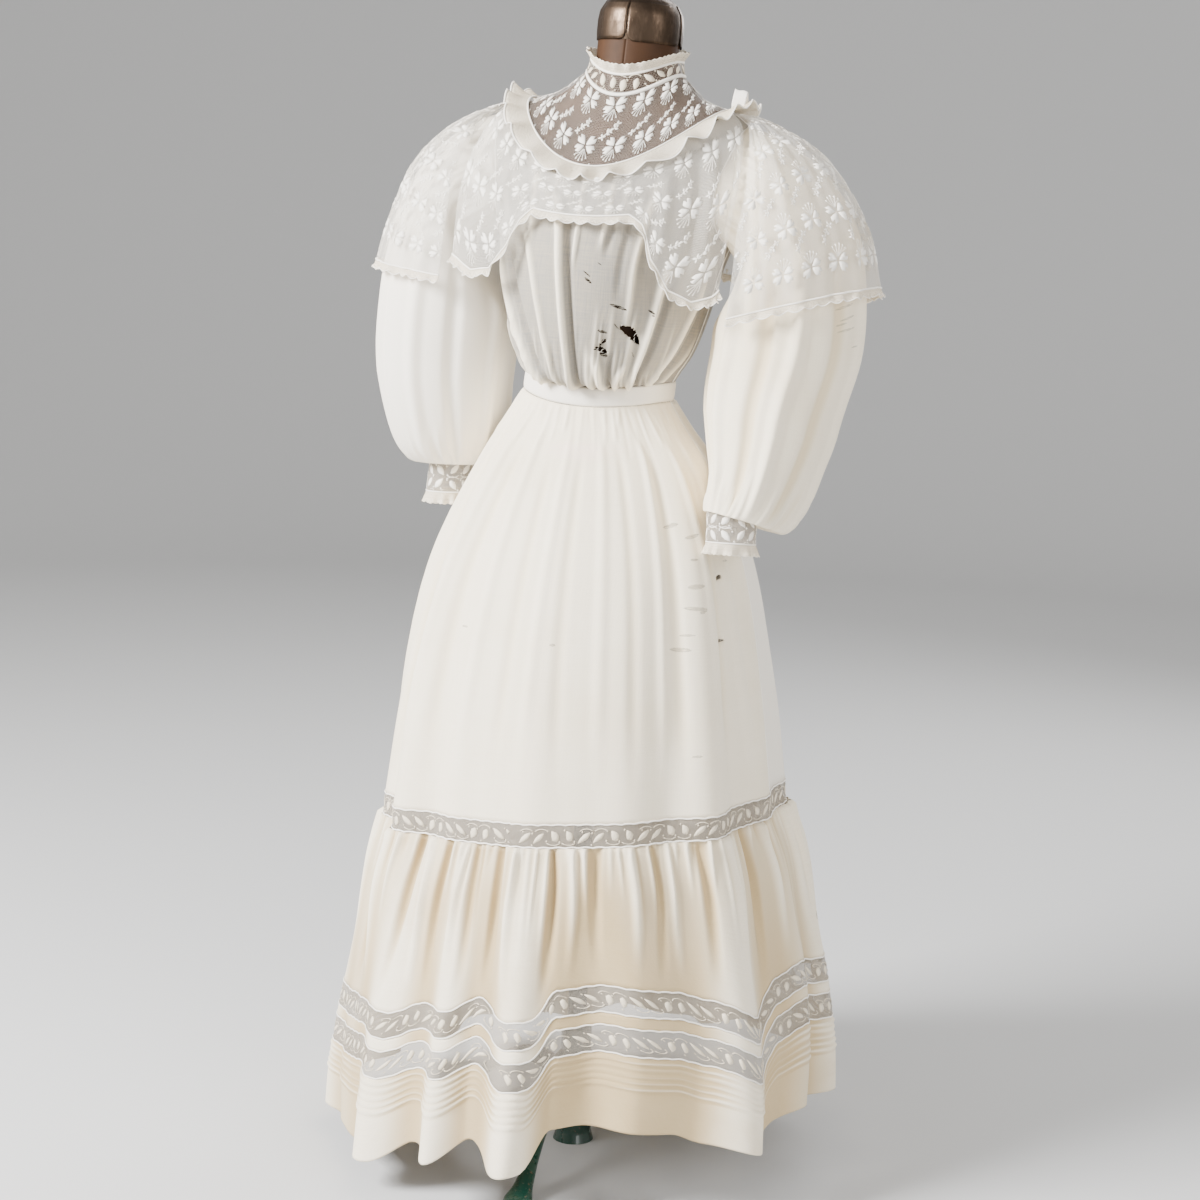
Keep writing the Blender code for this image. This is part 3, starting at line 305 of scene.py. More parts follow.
def moved_out(surface, turn, at, out):
    """Points of a surface moved along its outward normal, for rows that go upward."""
    step = 1e-3
    across = surface(turn + step, at) - surface(turn - step, at)
    upward = surface(turn, at + step) - surface(turn, at - step)
    normal = np.cross(across, upward)
    normal /= np.linalg.norm(normal, axis=-1, keepdims=True)
    return surface(turn, at) + np.asarray(out)[..., None] * normal


def fold_height(folds, turn):
    """Sum of rounded ridges: each is a squared cosine that reaches zero at its width."""
    centre, width, height = np.array(folds, float).T
    away = np.asarray(turn)[..., None] - np.radians(centre)
    away = np.abs((away + pi) % (2 * pi) - pi) / np.radians(width)
    return (height * np.cos(np.minimum(away, 1.0) * QUARTER) ** 2).sum(axis=-1)


def hang(turn, drop):
    """How far the flounce hangs below its rings, eased from one entry of its table to the next.

    drop goes from 0 at the first lace to 1 at the hem. The bands' share comes in by the second
    lace, and the hem's takes over below the third.
    """
    rows = np.array(FLOUNCE_HANG, float)
    starts = np.radians(rows[:, 0])
    ends = np.append(starts[1:], starts[0] + 2 * pi)
    turn = (np.asarray(turn, float) - starts[0]) % (2 * pi) + starts[0]
    spot = np.searchsorted(starts, turn, side="right") - 1
    share = (1 - np.cos(pi * (turn - starts[spot]) / (ends[spot] - starts[spot]))) / 2
    after = (spot + 1) % len(rows)
    bands, hem = (rows[spot, part] + (rows[after, part] - rows[spot, part]) * share for part in (1, 2))
    return bands * np.interp(drop, [0, 0.5, 0.73, 1], [0, 1, 1, 0]) + hem * np.interp(drop, [0.73, 1], [0, 1])


def skirt_surface(turn, at):
    """The skirt's rings, pushed outward by folds that grow from the waist and from the gathers."""
    point = ring_surface(SKIRT)(turn, at)
    upper = np.clip((WAIST - at) / (WAIST - LACE_1_TOP), 0.0, 1.0) * np.clip(at / LACE_1_TOP, 0.35, 1.0)
    level = smooth([[row.z_side] for row in SKIRT], at)[..., 0]
    drop = np.clip((SKIRT[LACE_1].z_side - level) / (SKIRT[LACE_1].z_side - SKIRT[HEM].z_side), 0.0, 1.0)
    push = upper * fold_height(SKIRT_FOLDS, turn) + drop**1.15 * fold_height(FLOUNCE_FOLDS, turn)
    moved = point + push[..., None] * outward(turn)
    moved[..., 2] -= hang(turn, drop)
    return moved


def armhole_turn(at):
    """How far from the front a bodice panel reaches: to the side seam, or to the armhole's edge."""
    round_off = np.sqrt(np.clip(1 - ((at - ARMHOLE_ROW) / ARMHOLE_HALF_ROWS) ** 2, 0.0, 1.0))
    return QUARTER - ARMHOLE_FRONT * round_off, QUARTER - ARMHOLE_BACK * round_off


def armhole_loop(side, phi):
    """The armhole's points, from the shoulder tip round by the front to the underarm."""
    swing = np.where(np.sin(phi) > 0, ARMHOLE_FRONT, ARMHOLE_BACK)
    turn = side * (QUARTER - swing * np.sin(phi))
    return moved_out(ring_surface(BODICE), turn, ARMHOLE_ROW + ARMHOLE_HALF_ROWS * np.cos(phi), 0.0010)


def section_rings(side, sections, phi):
    """Rings about a bent axis: phi goes from the outer side of the sleeve toward its front."""
    rings = []
    for part in sections:
        turn, pitch = radians(part.turn), radians(part.pitch)
        outer = np.array([sin(turn), 0.0, cos(turn)])
        ahead = np.array([0.0, -cos(pitch), sin(pitch)])
        centre = np.array([part.x, part.y, part.z])
        ring = centre + part.across * np.cos(phi)[:, None] * outer + part.deep * np.sin(phi)[:, None] * ahead
        rings.append(ring * [side, 1, 1])
    return rings


def sleeve_rings(side, phi):
    """A sleeve's rings from the armhole down to the cuff."""
    rings = section_rings(side, SLEEVE_TOP[side] + SLEEVE_LOW[side], phi)
    return np.array([armhole_loop(side, phi)] + rings)


def closed_angles(count):
    """Equal steps once round, without the last one, which is the first again."""
    return np.arange(count) * 2 * pi / count


def between(rows, low, high, steps):
    """Row numbers from one seam to the next, half a seam's gap short of both."""
    levels = np.array([[row.z_side] for row in rows])
    nudge = 0.01
    rise_low = (smooth(levels, np.array(low + nudge)) - smooth(levels, np.array(float(low))))[0] / nudge
    rise_high = (smooth(levels, np.array(float(high))) - smooth(levels, np.array(high - nudge)))[0] / nudge
    return np.linspace(low + SEAM / 2 / rise_low, high - SEAM / 2 / rise_high, steps + 1)


def row_at_level(rows, turn):
    """A function that gives the row number at a level, at one turn."""
    grid = np.linspace(0, len(rows) - 1, 400)
    levels = ring_surface(rows)(np.full(grid.shape, turn), grid)[:, 2]
    return lambda level: float(np.interp(level, levels, grid))


def cape_surface(rows, facing):
    """Cape collar front or back: rows go down, and reach falls off with the squared cosine."""
    def surface(turn, at):
        half_width, reach, side_reach, z_middle, z_side = np.moveaxis(smooth(rows, at), -1, 0)
        along = np.cos(turn)
        flat = np.clip(at / 2, 0.0, 1.0)
        share = along * (1 - flat) + along**2 * flat
        level = z_side + (z_middle - z_side) * along**2
        out = facing * (side_reach + (reach - side_reach) * share)
        return np.stack([half_width * np.sin(turn), -out, level], axis=-1)
    return surface


def skirt_grid(low, high, steps, turn):
    """Points of the skirt between two seams at the turns, and their row numbers as a column."""
    at = between(SKIRT, low, high, steps)[:, None]
    return skirt_surface(turn + 0 * at, at + 0 * turn), at


Cloth = namedtuple("Cloth", "points normals across along around heights")
Crease = namedtuple("Crease", "low_turn low high_turn high bow width height")


def normals_of(points, around):
    """Unit cross products of the row direction and the column direction of a grid."""
    if around:
        points = np.concatenate([points[:, -1:], points, points[:, :1]], axis=1)
    right, upward = np.gradient(points, axis=1), np.gradient(points, axis=0)
    normals = np.cross(right, upward)
    normals /= np.maximum(np.linalg.norm(normals, axis=-1, keepdims=True), 1e-9)
    return normals[:, 1:-1] if around else normals


def raised(points, heights, around=False):
    """A grid moved along its own outward normals by the given heights."""
    return points + heights[..., None] * normals_of(points, around)


def crease_heights(turn, at, creases, low_fade=0.22, high_fade=0.22):
    """Sum of soft ridges and troughs: each follows a bowed line of turns between two row numbers.

    Across the line the height is a squared cosine, and it eases to nothing over the line's end shares.
    """
    turn, at = np.broadcast_arrays(np.asarray(turn, float), np.asarray(at, float))
    heights = np.zeros(turn.shape)
    for crease in creases:
        share = (at - crease.low) / (crease.high - crease.low)
        inside = np.clip(share, 0.0, 1.0)
        centre = crease.low_turn + (crease.high_turn - crease.low_turn) * inside
        centre = np.radians(centre + crease.bow * 4 * inside * (1 - inside))
        away = (turn - centre + pi) % (2 * pi) - pi
        away = np.minimum(np.abs(away) / radians(crease.width), 1.0)
        ease = np.clip(np.minimum(share / low_fade, (1 - share) / high_fade), 0.0, 1.0)
        heights += crease.height * np.cos(away * QUARTER) ** 2 * eased(ease)
    return heights


def gathers(seed, count, start, end, low, high, width, height, least=0.35):
    """Fine gathers between two turns, uneven in length, depth, slant and spacing.

    low is the row at the stitched end, and each gather runs at least this part of the way to high.
    """
    random = np.random.default_rng(seed)
    pitch = (end - start) / count
    turns = start + pitch * (np.arange(count) + random.uniform(0.15, 0.85, count))
    reach = low + (high - low) * random.uniform(least, 1.0, count) ** 1.3
    foot = low - (high - low) * 0.28 * random.uniform(0.4, 1.0, count)
    slant = pitch * random.uniform(-0.7, 0.7, count)
    widths = width * random.uniform(0.7, 1.5, count)
    depths = height * random.uniform(0.35, 1.0, count) * np.where(random.random(count) < 0.3, -0.7, 1.0)
    made = []
    for turn, foot_at, tip_at, lean, wide, deep in zip(turns, foot, reach, slant, widths, depths):
        (low_at, low_turn), (high_at, high_turn) = sorted([(foot_at, turn), (tip_at, turn + lean)])
        made.append(Crease(low_turn, low_at, high_turn, high_at, 0.0, wide, deep))
    return made


def cloth_of(points, around=False, heights=None):
    """A grid with its outward normals, and its lengths in metres along the rows and up the columns.

    heights are those of its creases, which the painted shade and light of its folds follow.
    """
    heights = np.zeros(points.shape[:2]) if heights is None else heights
    points = leaned(points)
    normals = normals_of(points, around)
    if around:
        points = np.concatenate([points, points[:, :1]], axis=1)
        normals = np.concatenate([normals, normals[:, :1]], axis=1)
    steps = np.linalg.norm(np.diff(points, axis=1), axis=-1)
    across = np.concatenate([np.zeros((len(points), 1)), np.cumsum(steps, axis=1)], axis=1)
    across -= across[:, across.shape[1] // 2][:, None]
    rise = np.linalg.norm(np.diff(points, axis=0), axis=-1).mean(axis=1)
    return Cloth(points, normals, across, np.concatenate([[0.0], np.cumsum(rise)]), around, heights)


def on_cloth(cloth, across, along, height):
    """Points on a cloth at lengths across and along it in metres, lifted along its normals."""
    rows, columns = cloth.across.shape
    row = np.interp(along, cloth.along, np.arange(rows))
    low = np.clip(np.floor(row).astype(int), 0, rows - 2)
    part = (row - low)[:, None]
    lengths = cloth.across[low] * (1 - part) + cloth.across[low + 1] * part
    column = np.clip((lengths < across[:, None]).sum(axis=1) - 1, 0, columns - 2)
    here = np.take_along_axis(lengths, column[:, None], axis=1)[:, 0]
    there = np.take_along_axis(lengths, column[:, None] + 1, axis=1)[:, 0]
    share = ((across - here) / (there - here))[:, None]

    def mixed(grid):
        bottom = grid[low, column] * (1 - share) + grid[low, column + 1] * share
        top = grid[low + 1, column] * (1 - share) + grid[low + 1, column + 1] * share
        return bottom * (1 - part) + top * part
    return mixed(cloth.points) + height[:, None] * mixed(cloth.normals)


def mesh_object(name, vertices, faces, look):
    """A smooth mesh object at the origin from arrays or lists."""
    mesh = bpy.data.meshes.new(name)
    faces = faces if isinstance(faces, list) else faces.tolist()
    mesh.from_pydata(np.asarray(vertices, float).tolist(), [], faces)
    mesh.shade_smooth()
    mesh.materials.append(bpy.data.materials[look])
    made = bpy.data.objects.new(name, mesh)
    bpy.context.scene.collection.objects.link(made)
    return made


def new_object(name, vertices, faces, look):
    """A mesh object that belongs to the dress or its stand."""
    made = mesh_object(name, vertices, faces, look)
    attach(made, BODY)
    return made


def thicken(made, thickness, offset=-1.0):
    """Gives a cloth or a lace motif its thickness with a Solidify modifier."""
    wall = made.modifiers.new("Thickness", "SOLIDIFY")
    wall.thickness = thickness
    wall.offset = offset


def grid_faces(rows, columns, around):
    """Corner numbers of a grid's faces, closed round the rows if asked."""
    low = np.arange(rows - 1)[:, None] * columns
    here = np.arange(columns if around else columns - 1)[None, :]
    beside = (here + 1) % columns
    return np.stack([low + here, low + beside, low + columns + beside, low + columns + here], axis=-1)


def lay(name, cloth, look, nodes=(), thickness=0.0006, kept=None, free_edge_last=False):
    """A cloth as a thin wall in its CAD node's place; kept is a mask of the faces that aren't torn away.

    The UV runs up the cloth in metres from its first row, or back from its last where that is free.
    Its fold value goes from 0 at the foot of the deepest troughs to 1 on the highest ridges; the voile's
    materials paint shade in the troughs and light on the ridges by it.
    """
    rows, columns = cloth.across.shape
    columns -= 1 if cloth.around else 0
    faces = grid_faces(rows, columns, cloth.around)
    corner_row = np.arange(rows - 1)[:, None, None] + np.array([0, 0, 1, 1])
    corner_column = np.arange(faces.shape[1])[None, :, None] + np.array([0, 1, 1, 0])
    corner_row, corner_column = np.broadcast_arrays(corner_row, corner_column)
    along = cloth.along[-1] - cloth.along if free_edge_last else cloth.along
    uv = np.stack([cloth.across[corner_row, corner_column], along[corner_row]], axis=-1)
    kept = np.ones(faces.shape[:2], bool) if kept is None else kept
    faces, uv = faces[kept], uv[kept]
    used, numbers = np.unique(faces, return_inverse=True)
    points = cloth.points[:, :columns].reshape(-1, 3)[used]
    made = new_object(name, points, numbers.reshape(faces.shape), look)
    made.data.uv_layers.new(name="UVMap").data.foreach_set("uv", uv.astype(np.float32).ravel())
    fold = np.clip(0.5 + cloth.heights / (2 * FULL_FOLD), 0.0, 1.0).reshape(-1)[used]
    made.data.attributes.new("fold", "FLOAT", "POINT").data.foreach_set("value", fold.astype(np.float32))
    thicken(made, thickness)
    if nodes:
        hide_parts(*nodes)
    return made


def edge_fade(share, part):
    """0 at both ends of the share from -1 to 1, rising smoothly to 1 over the given part."""
    return eased(np.clip((1 - np.abs(share)) / part, 0.0, 1.0))


# A motif is points of sideways, upward and outward distance in metres, with faces of four corners.
Motif = namedtuple("Motif", "points faces")


def joined(motifs):
    """Several motifs as one."""
    starts = np.cumsum([0] + [len(part.points) for part in motifs])
    return Motif(np.concatenate([part.points for part in motifs]),
                 np.concatenate([part.faces + start for part, start in zip(motifs, starts)]))


def placed(motif, x, y, turn, size=1.0):
    """A motif scaled, turned anticlockwise in degrees and moved."""
    a = radians(turn)
    spin = np.array([[cos(a), sin(a), 0], [-sin(a), cos(a), 0], [0, 0, 1]])
    return Motif(motif.points * [size, size, 1] @ spin + [x, y, 0], motif.faces)


def petal(length, width, notch, belly, steps=3, height=0.0006):
    """A domed petal along +y: half its width times a sine of the way along, widest at belly.

    The notch draws the middle of its tip back, and the dome is highest on its centre line.
    """
    along = np.linspace(0.0, 1.0, steps + 1)[:, None]
    side = np.array([-1.0, 0.0, 1.0])
    bulge = np.sin(pi * np.clip(along / belly, 0, 1) / 2) * np.where(
        along > belly, np.sqrt(np.clip(1 - ((along - belly) / (1.02 - belly)) ** 2, 0, 1)), 1)
    x = side * np.maximum(bulge, 0.10) * width / 2
    y = length * along * (1 - notch * (1 - np.abs(side)) * along**3) + 0 * side
    z = height * (1 - 0.7 * np.abs(side)) * (0.5 + 0.5 * np.sin(pi * along))
    points = np.stack([x, y, z], axis=-1).reshape(-1, 3)
    return Motif(points, grid_faces(steps + 1, 3, False).reshape(-1, 4))


def ribbon(path, widths, height=0.0005):
    """A flat thread along a path of x and y, as wide at each point as its table says."""
    path, widths = np.asarray(path, float), np.asarray(widths, float)
    ahead = np.gradient(path, axis=0)
    ahead /= np.linalg.norm(ahead, axis=1, keepdims=True)
    side = np.stack([ahead[:, 1], -ahead[:, 0]], axis=1) * widths[:, None] / 2
    points = np.stack([path - side, path + side], axis=1).reshape(-1, 2)
    points = np.concatenate([points, np.full((len(points), 1), height)], axis=1)
    return Motif(points, grid_faces(len(path), 2, False).reshape(-1, 4))


VINE_REPEAT = 0.0765
CORD_SIDES = 6
SEWN_MARGIN = 0.0008    # no stitch comes nearer to a cloth's edge than this
# The tip's place of each stamen and how far it bends on the way.
STAMENS = ((-0.0125, -0.0150, -0.0050), (-0.0086, -0.0190, -0.0034), (-0.0038, -0.0212, -0.0014),
           (0.0016, -0.0200, 0.0010), (0.0066, -0.0172, 0.0034))


def flower():
    """Four notched petals with gaps between them, and a spray of knobbed stamens that droops below."""
    heart, heart_foot = petal(0.0146, 0.0118, 0.34, 0.76, height=0.0003), 0.0018
    parts = [placed(heart, -heart_foot * sin(radians(turn)), heart_foot * cos(radians(turn)), turn, size)
             for turn, size in ((47, 1.0), (-47, 1.0), (118, 0.92), (-118, 0.92))]
    for tip_x, tip_y, bend in STAMENS:
        path = [(bend * 0.15, -0.0050), (bend * 0.9, -0.0105), (tip_x * 0.80, tip_y * 0.84),
                (tip_x * 0.9, tip_y)]
        parts.append(ribbon(path, (0.0005, 0.0007, 0.0007, 0.0021)))
    return joined(parts)


def sprig():
    """Three small blossoms on a slanting stem, with leaves between them."""
    parts = [ribbon([(-0.0085, -0.0095), (-0.0025, -0.0032), (0.0040, 0.0030), (0.0090, 0.0110)],
                    (0.0007, 0.0010, 0.0010, 0.0007))]
    small = petal(0.0048, 0.0026, 0.1, 0.6, steps=2, height=0.0003)
    for x, y, turn in ((-0.0070, -0.0078, 20), (0.0000, 0.0008, 50), (0.0072, 0.0098, 10)):
        parts += [placed(small, x, y, turn + step) for step in range(0, 360, 90)]
    leaf = petal(0.0056, 0.0030, 0.0, 0.45, steps=2)
    return joined(parts + [placed(leaf, *spot) for spot in (
        (-0.0036, -0.0028, -105), (-0.0020, -0.0018, 10), (0.0046, 0.0042, -110), (0.0050, 0.0048, 15))])


def vine():
    """One repeat of the insertion lace: two leaves up, two leaves down, with arcs and dots between."""
    leaf = petal(0.0168, 0.0088, 0.0, 0.55, height=0.0004)
    parts = [placed(leaf, *spot) for spot in ((-0.0345, -0.0075, -42), (-0.0155, -0.0075, -38, 0.92),
                                              (0.0035, 0.0075, -138), (0.0225, 0.0075, -142, 0.92))]
    step = np.linspace(-1, 1, 7)
    for x, y, bend in ((-0.0280, 0.0090, 1), (-0.0090, 0.0090, 1), (0.0100, -0.0090, -1),
                       (0.0290, -0.0090, -1)):
        arc = np.stack([x + 0.0085 * step, y + bend * 0.0030 * (0.4 - step**2)], axis=1)
        parts.append(ribbon(arc, np.full(7, 0.0010)))
    dot, dot_foot = petal(0.0028, 0.0026, 0.0, 0.5, steps=2), 0.0011
    return joined(parts + [placed(dot, x, y - dot_foot, 0) for x, y in (
        (-0.0330, 0.0060), (-0.0205, 0.0045), (-0.0180, -0.0105), (-0.0015, 0.0070), (0.0010, -0.0050),
        (0.0175, -0.0060), (0.0200, 0.0080), (0.0365, -0.0060))])


def stamp(name, cloth, motif, places, turns=0.0, sizes=1.0, lift=0.0003, thickness=0.0003, look="embroidery"):
    """Copies of a motif laid on a cloth at lengths across and along it, cut off at the cloth's seams."""
    places = np.asarray(places, float)
    turns = np.radians(np.broadcast_to(turns, len(places)))[:, None]
    sizes = np.broadcast_to(sizes, len(places))[:, None]
    x, y, out = motif.points.T
    across = (places[:, :1] + sizes * (np.cos(turns) * x - np.sin(turns) * y)).ravel()
    along = (places[:, 1:] + sizes * (np.sin(turns) * x + np.cos(turns) * y)).ravel()
    row = np.clip(np.interp(along, cloth.along, np.arange(len(cloth.along))), 0, len(cloth.along) - 1)
    near = cloth.across[np.round(row).astype(int)]
    inside = (along > SEWN_MARGIN) & (along < cloth.along[-1] - SEWN_MARGIN)
    inside &= (across > near[:, 0] + SEWN_MARGIN) & (across < near[:, -1] - SEWN_MARGIN)
    faces = (motif.faces[None] + (np.arange(len(places)) * len(x))[:, None, None]).reshape(-1, 4)
    faces = faces[inside[faces].all(axis=1)]
    used, numbers = np.unique(faces, return_inverse=True)
    points = on_cloth(cloth, across[used], along[used], np.tile(out, len(places))[used] + lift)
    made = new_object(name, points, numbers.reshape(faces.shape), look)
    thicken(made, thickness)
    return made


def net_flowers(name, cloth, top_gap, shift, settings):
    """Rows of flowers, each row half a step from the next, with a slanting sprig between them."""
    step, rise = settings.flower_step, settings.flower_rise
    count = int(np.abs(cloth.across).max() / step) + 1
    numbers = np.arange(-count, count + 1)
    flowers, sprigs = [], []
    for row in range(int(cloth.along[-1] / rise) + 2):
        level = cloth.along[-1] - top_gap - row * rise
        offset = shift + (row % 2) * step / 2
        flowers += [(number * step + offset, level) for number in numbers]
        sprigs += [(number * step + offset + 0.006, level - rise * 0.63) for number in numbers]
    random = np.random.default_rng(len(name))
    return [stamp(f"{name}_{word}", cloth, motif, places, random.uniform(-sway, sway, len(places)),
                  random.uniform(least, most, len(places)))
            for word, motif, places, sway, least, most in (("flowers", flower(), flowers, 7, 0.94, 1.04),
                                                           ("sprigs", sprig(), sprigs, 8, 0.9, 1.05))]


def band_leaves(name, cloth, size=1.0, shift=0.0):
    """The leafy vine along the middle of a lace band, fitted to a whole number of repeats."""
    length = float((cloth.across[:, -1] - cloth.across[:, 0]).mean())
    count = max(1, round(length / (VINE_REPEAT * size)))
    start = float(cloth.across[:, 0].mean())
    across = start + length / count * (np.arange(count) + 0.5) + shift
    places = np.stack([across, np.full(count, cloth.along[-1] / 2)], axis=1)
    return stamp(name, cloth, vine(), places, sizes=size, look="band_thread")


def seam_cord(name, cloth, row, radius, scallop=0.0, proud=0.0006):
    """A stitched cord round or along a cloth's edge row: a small ring of points carried along the row."""
    points, normals = cloth.points[row], cloth.normals[row]
    if cloth.around:
        points, normals = points[:-1], normals[:-1]
    ahead = np.gradient(points, axis=0)
    if cloth.around:
        ahead[0] = ahead[-1] = points[1] - points[-2]
    ahead /= np.maximum(np.linalg.norm(ahead, axis=1, keepdims=True), 1e-9)
    side = np.cross(normals, ahead)
    bump = scallop * np.abs(np.sin(np.arange(len(points)) * 0.7))
    centre = points + normals * proud + side * bump[:, None]
    angle = closed_angles(CORD_SIDES)[:, None, None]
    ring = centre + radius * (np.cos(angle) * side + 0.6 * np.sin(angle) * normals)
    here, last = np.arange(CORD_SIDES), (len(points) - 1) * CORD_SIDES
    beside = (here + 1) % CORD_SIDES
    ends = np.stack([last + here, last + beside, beside, here], axis=-1) if cloth.around else [
        [3, 2, 1, 0], [5, 4, 3, 0], [last, last + 1, last + 2, last + 3],
        [last, last + 3, last + 4, last + 5]]
    faces = np.concatenate([grid_faces(len(points), CORD_SIDES, True).reshape(-1, 4), ends])
    return new_object(name, ring.transpose(1, 0, 2).reshape(-1, 3), faces, "embroidery")


def side_seams(name, cloth, radius):
    """A stitched seam up each side edge of a panel, over the gap to the panel beside it."""
    turned = cloth._replace(points=cloth.points.swapaxes(0, 1), normals=cloth.normals.swapaxes(0, 1))
    return [seam_cord(f"{name}_{word}_seam", turned, row, radius, proud=0.0)
            for word, row in (("right", 0), ("left", -1))]


Tear = namedtuple("Tear", "across along length width slant")


def tear_at(cloth, surface, rip, at_level):
    """A rip of the CAD part as a place on the finished cloth."""
    centre = leaned(surface(np.array(radians(rip.turn)), np.array(at_level(rip.level))))
    spot = np.unravel_index(np.argmin(((cloth.points - centre) ** 2).sum(axis=-1)), cloth.across.shape)
    width = 0.0030 + 0.42 * rip.width
    return Tear(cloth.across[spot], cloth.along[spot[0]], 1.15 * rip.length, width, rip.slant)


def tear_shape(tear, way):
    """Half a tear's width at a share of its half length, and how far its middle line arches up there."""
    half = tear.width / 2 * np.sqrt(1 - way**2) * (1 - 0.35 * way**2)
    return half, 0.10 * tear.length * (1 - way**2)


def torn(cloth, tears):
    """A cloth with its torn places open: the faces that stay, and the cloth with its ragged edges drawn out.

    Each tear is a pointed lens whose middle bows upward, with a ragged edge.
    """
    points = cloth.points.copy()
    kept = np.ones((points.shape[0] - 1, points.shape[1] - 1), bool)
    ahead, upward = np.gradient(points, axis=1), np.gradient(points, axis=0)
    ahead /= np.linalg.norm(ahead, axis=-1, keepdims=True)
    upward /= np.linalg.norm(upward, axis=-1, keepdims=True)
    for tear in tears:
        slant = radians(tear.slant)
        east, north = cloth.across - tear.across, cloth.along[:, None] - tear.along
        x = east * cos(slant) + north * sin(slant)
        half, bow = tear_shape(tear, np.clip(x / (tear.length / 2), -1, 1))
        y = north * cos(slant) - east * sin(slant) - bow
        half *= 1 + 0.16 * np.sin(x * 1500) + 0.12 * np.sin(x * 3700 + 1)
        centre_x, centre_y, centre_half = ((grid[:-1, :-1] + grid[1:, 1:]) / 2 for grid in (x, y, half))
        gone = (np.abs(centre_x) < tear.length / 2) & (np.abs(centre_y) < centre_half)
        kept &= ~gone
        touched = np.zeros(x.shape, int)
        for down, beside in ((0, 0), (0, 1), (1, 0), (1, 1)):
            touched[down:down + gone.shape[0], beside:beside + gone.shape[1]] += gone
        edge = (touched > 0) & (touched < 4) & (np.abs(x) < tear.length / 2)
        move = np.where(edge, np.sign(y) * half - y, 0.0)
        points += (-move * sin(slant))[..., None] * ahead + (move * cos(slant))[..., None] * upward
    return cloth._replace(points=points), kept


def frayed_threads(name, cloth, tears, seed):
    """Loose threads across each torn place: some still whole, some broken and hanging from an edge."""
    random = np.random.default_rng(seed)
    step, parts = np.linspace(0, 1, 5), []
    for tear in tears:
        slant = radians(tear.slant)
        for _ in range(int(tear.length * 110) + 1):
            way = random.uniform(-0.92, 0.92)
            half, bow = tear_shape(tear, way)
            start, whole = random.choice((-1, 1)), random.random() < 0.15
            tip = -start * half * 1.15 if whole else start * half * random.uniform(-0.5, 0.7)
            drift = random.uniform(-0.0035, 0.0035)
            foot = start * half * 1.25
            path_y = foot + (tip - foot) * step + bow
            wave = 0.0008 * np.sin(step * pi * 2 + random.uniform(0, 6))
            path_x = way * tear.length / 2 + drift * step + wave
            path = np.stack([tear.across + path_x * cos(slant) - path_y * sin(slant),
                             tear.along + path_x * sin(slant) + path_y * cos(slant)], axis=1)
            parts.append(ribbon(path, np.full(5, random.uniform(0.0002, 0.0004)),
                                random.uniform(-0.0006, 0.0006)))
    return stamp(name, cloth, joined(parts), [(0.0, 0.0)], lift=0.0, thickness=0.0002)


def torn_panel(name, cloth, look, rips, surface, rows, rip_turn, seed, settings):
    """A gathered panel in its place; one with rips is torn open there, with threads and side seams."""
    trims, kept = [], None
    if rips:
        at_level = row_at_level(rows, radians(rip_turn))
        tears = [tear_at(cloth, surface, rip, at_level) for rip in rips]
        threads = frayed_threads(name.replace("front", "threads"), cloth, tears, seed)
        trims = [threads] + side_seams(name, cloth, SIDE_SEAM)
        cloth, kept = torn(cloth, tears)
    made = lay(f"{name}_cloth", cloth, look, [name], settings.cloth, kept)


# Bodice: soft folds over the bust and gathers at the waist.
BODICE_FOLDS = table(Crease, [
    (4.5, -0.6, -12.5, 6.9, 0, 3.4, 0.0078), (9, -0.7, -7.5, 6.7, 0, 3.0, -0.008),
    (2, 3.6, 0, 7.4, 0, 1.8, 0.005), (-1.0, 3.8, -3.0, 7.2, 0, 1.6, -0.0016),
    (14, 4.2, 12.5, 7.4, 0, 2.0, 0.0048), (17.5, 4.0, 16, 7.2, 0, 2.2, -0.0038),
    (33, 2.2, 30, 7.0, 0, 2.6, 0.0042), (26, 3.0, 24, 6.8, 0, 3.0, -0.0032),
    (37, -0.6, 50, 4.6, 1, 3.2, 0.0082), (42.5, -0.6, 56, 4.4, 1, 3.2, -0.0085),
    (50, -0.5, 80, 4.4, 1, 3.2, 0.006), (57, -0.5, 87, 3.8, 1, 3.4, -0.0056),
    (63, -0.4, 88, 2.8, 1, 3.0, 0.004), (-20, -0.4, -64, 4.6, 2, 5.0, 0.0066),
    (-12, -0.4, -50, 4.6, 2, 4.4, -0.006), (-5, -0.4, -30, 5.2, 1, 3.4, 0.0044),
    (-30, -0.4, -74, 4.0, 2, 5.0, -0.005), (-24, 4.2, -22, 7.2, 0, 3.0, 0.0036),
    (22, -0.4, 15, 2.0, 3, 4.0, 0.006), (27, -0.4, 26, 2.1, 0, 3.0, -0.007),
    (31, -0.4, 36, 1.7, -3, 3.4, 0.0055), (14.5, -0.4, 12, 2.2, 0, 3.0, 0.0036),
])
BACK_FOLDS = table(Crease, [
    (148, 0.3, 140, 7.0, 3, 8, 0.0044), (163, 0.3, 158, 7.4, -2, 6, 0.004),
    (177, 0.2, 179, 7.0, 2, 6, 0.0036), (190, 0.3, 196, 6.6, 2, 6, 0.0042),
    (206, 0.3, 218, 7.0, -3, 7, 0.004), (222, 0.3, 236, 6.2, 3, 8, 0.0036),
    (130, 0.3, 122, 6.2, -3, 8, 0.0034), (170, 0.4, 168, 5.0, 1, 4, -0.003),
    (198, 0.4, 205, 5.0, -2, 5, -0.003), (154, 0.4, 149, 5.0, 1, 5, -0.003),
])
SIDE_SEAM = 0.0014      # radius of the cord over a side seam
CAPE_SPAN = 88          # degrees from a cape's middle to its side edge
FRILL_TURNS = 1.3       # how unevenly the cape frill's waves are spaced
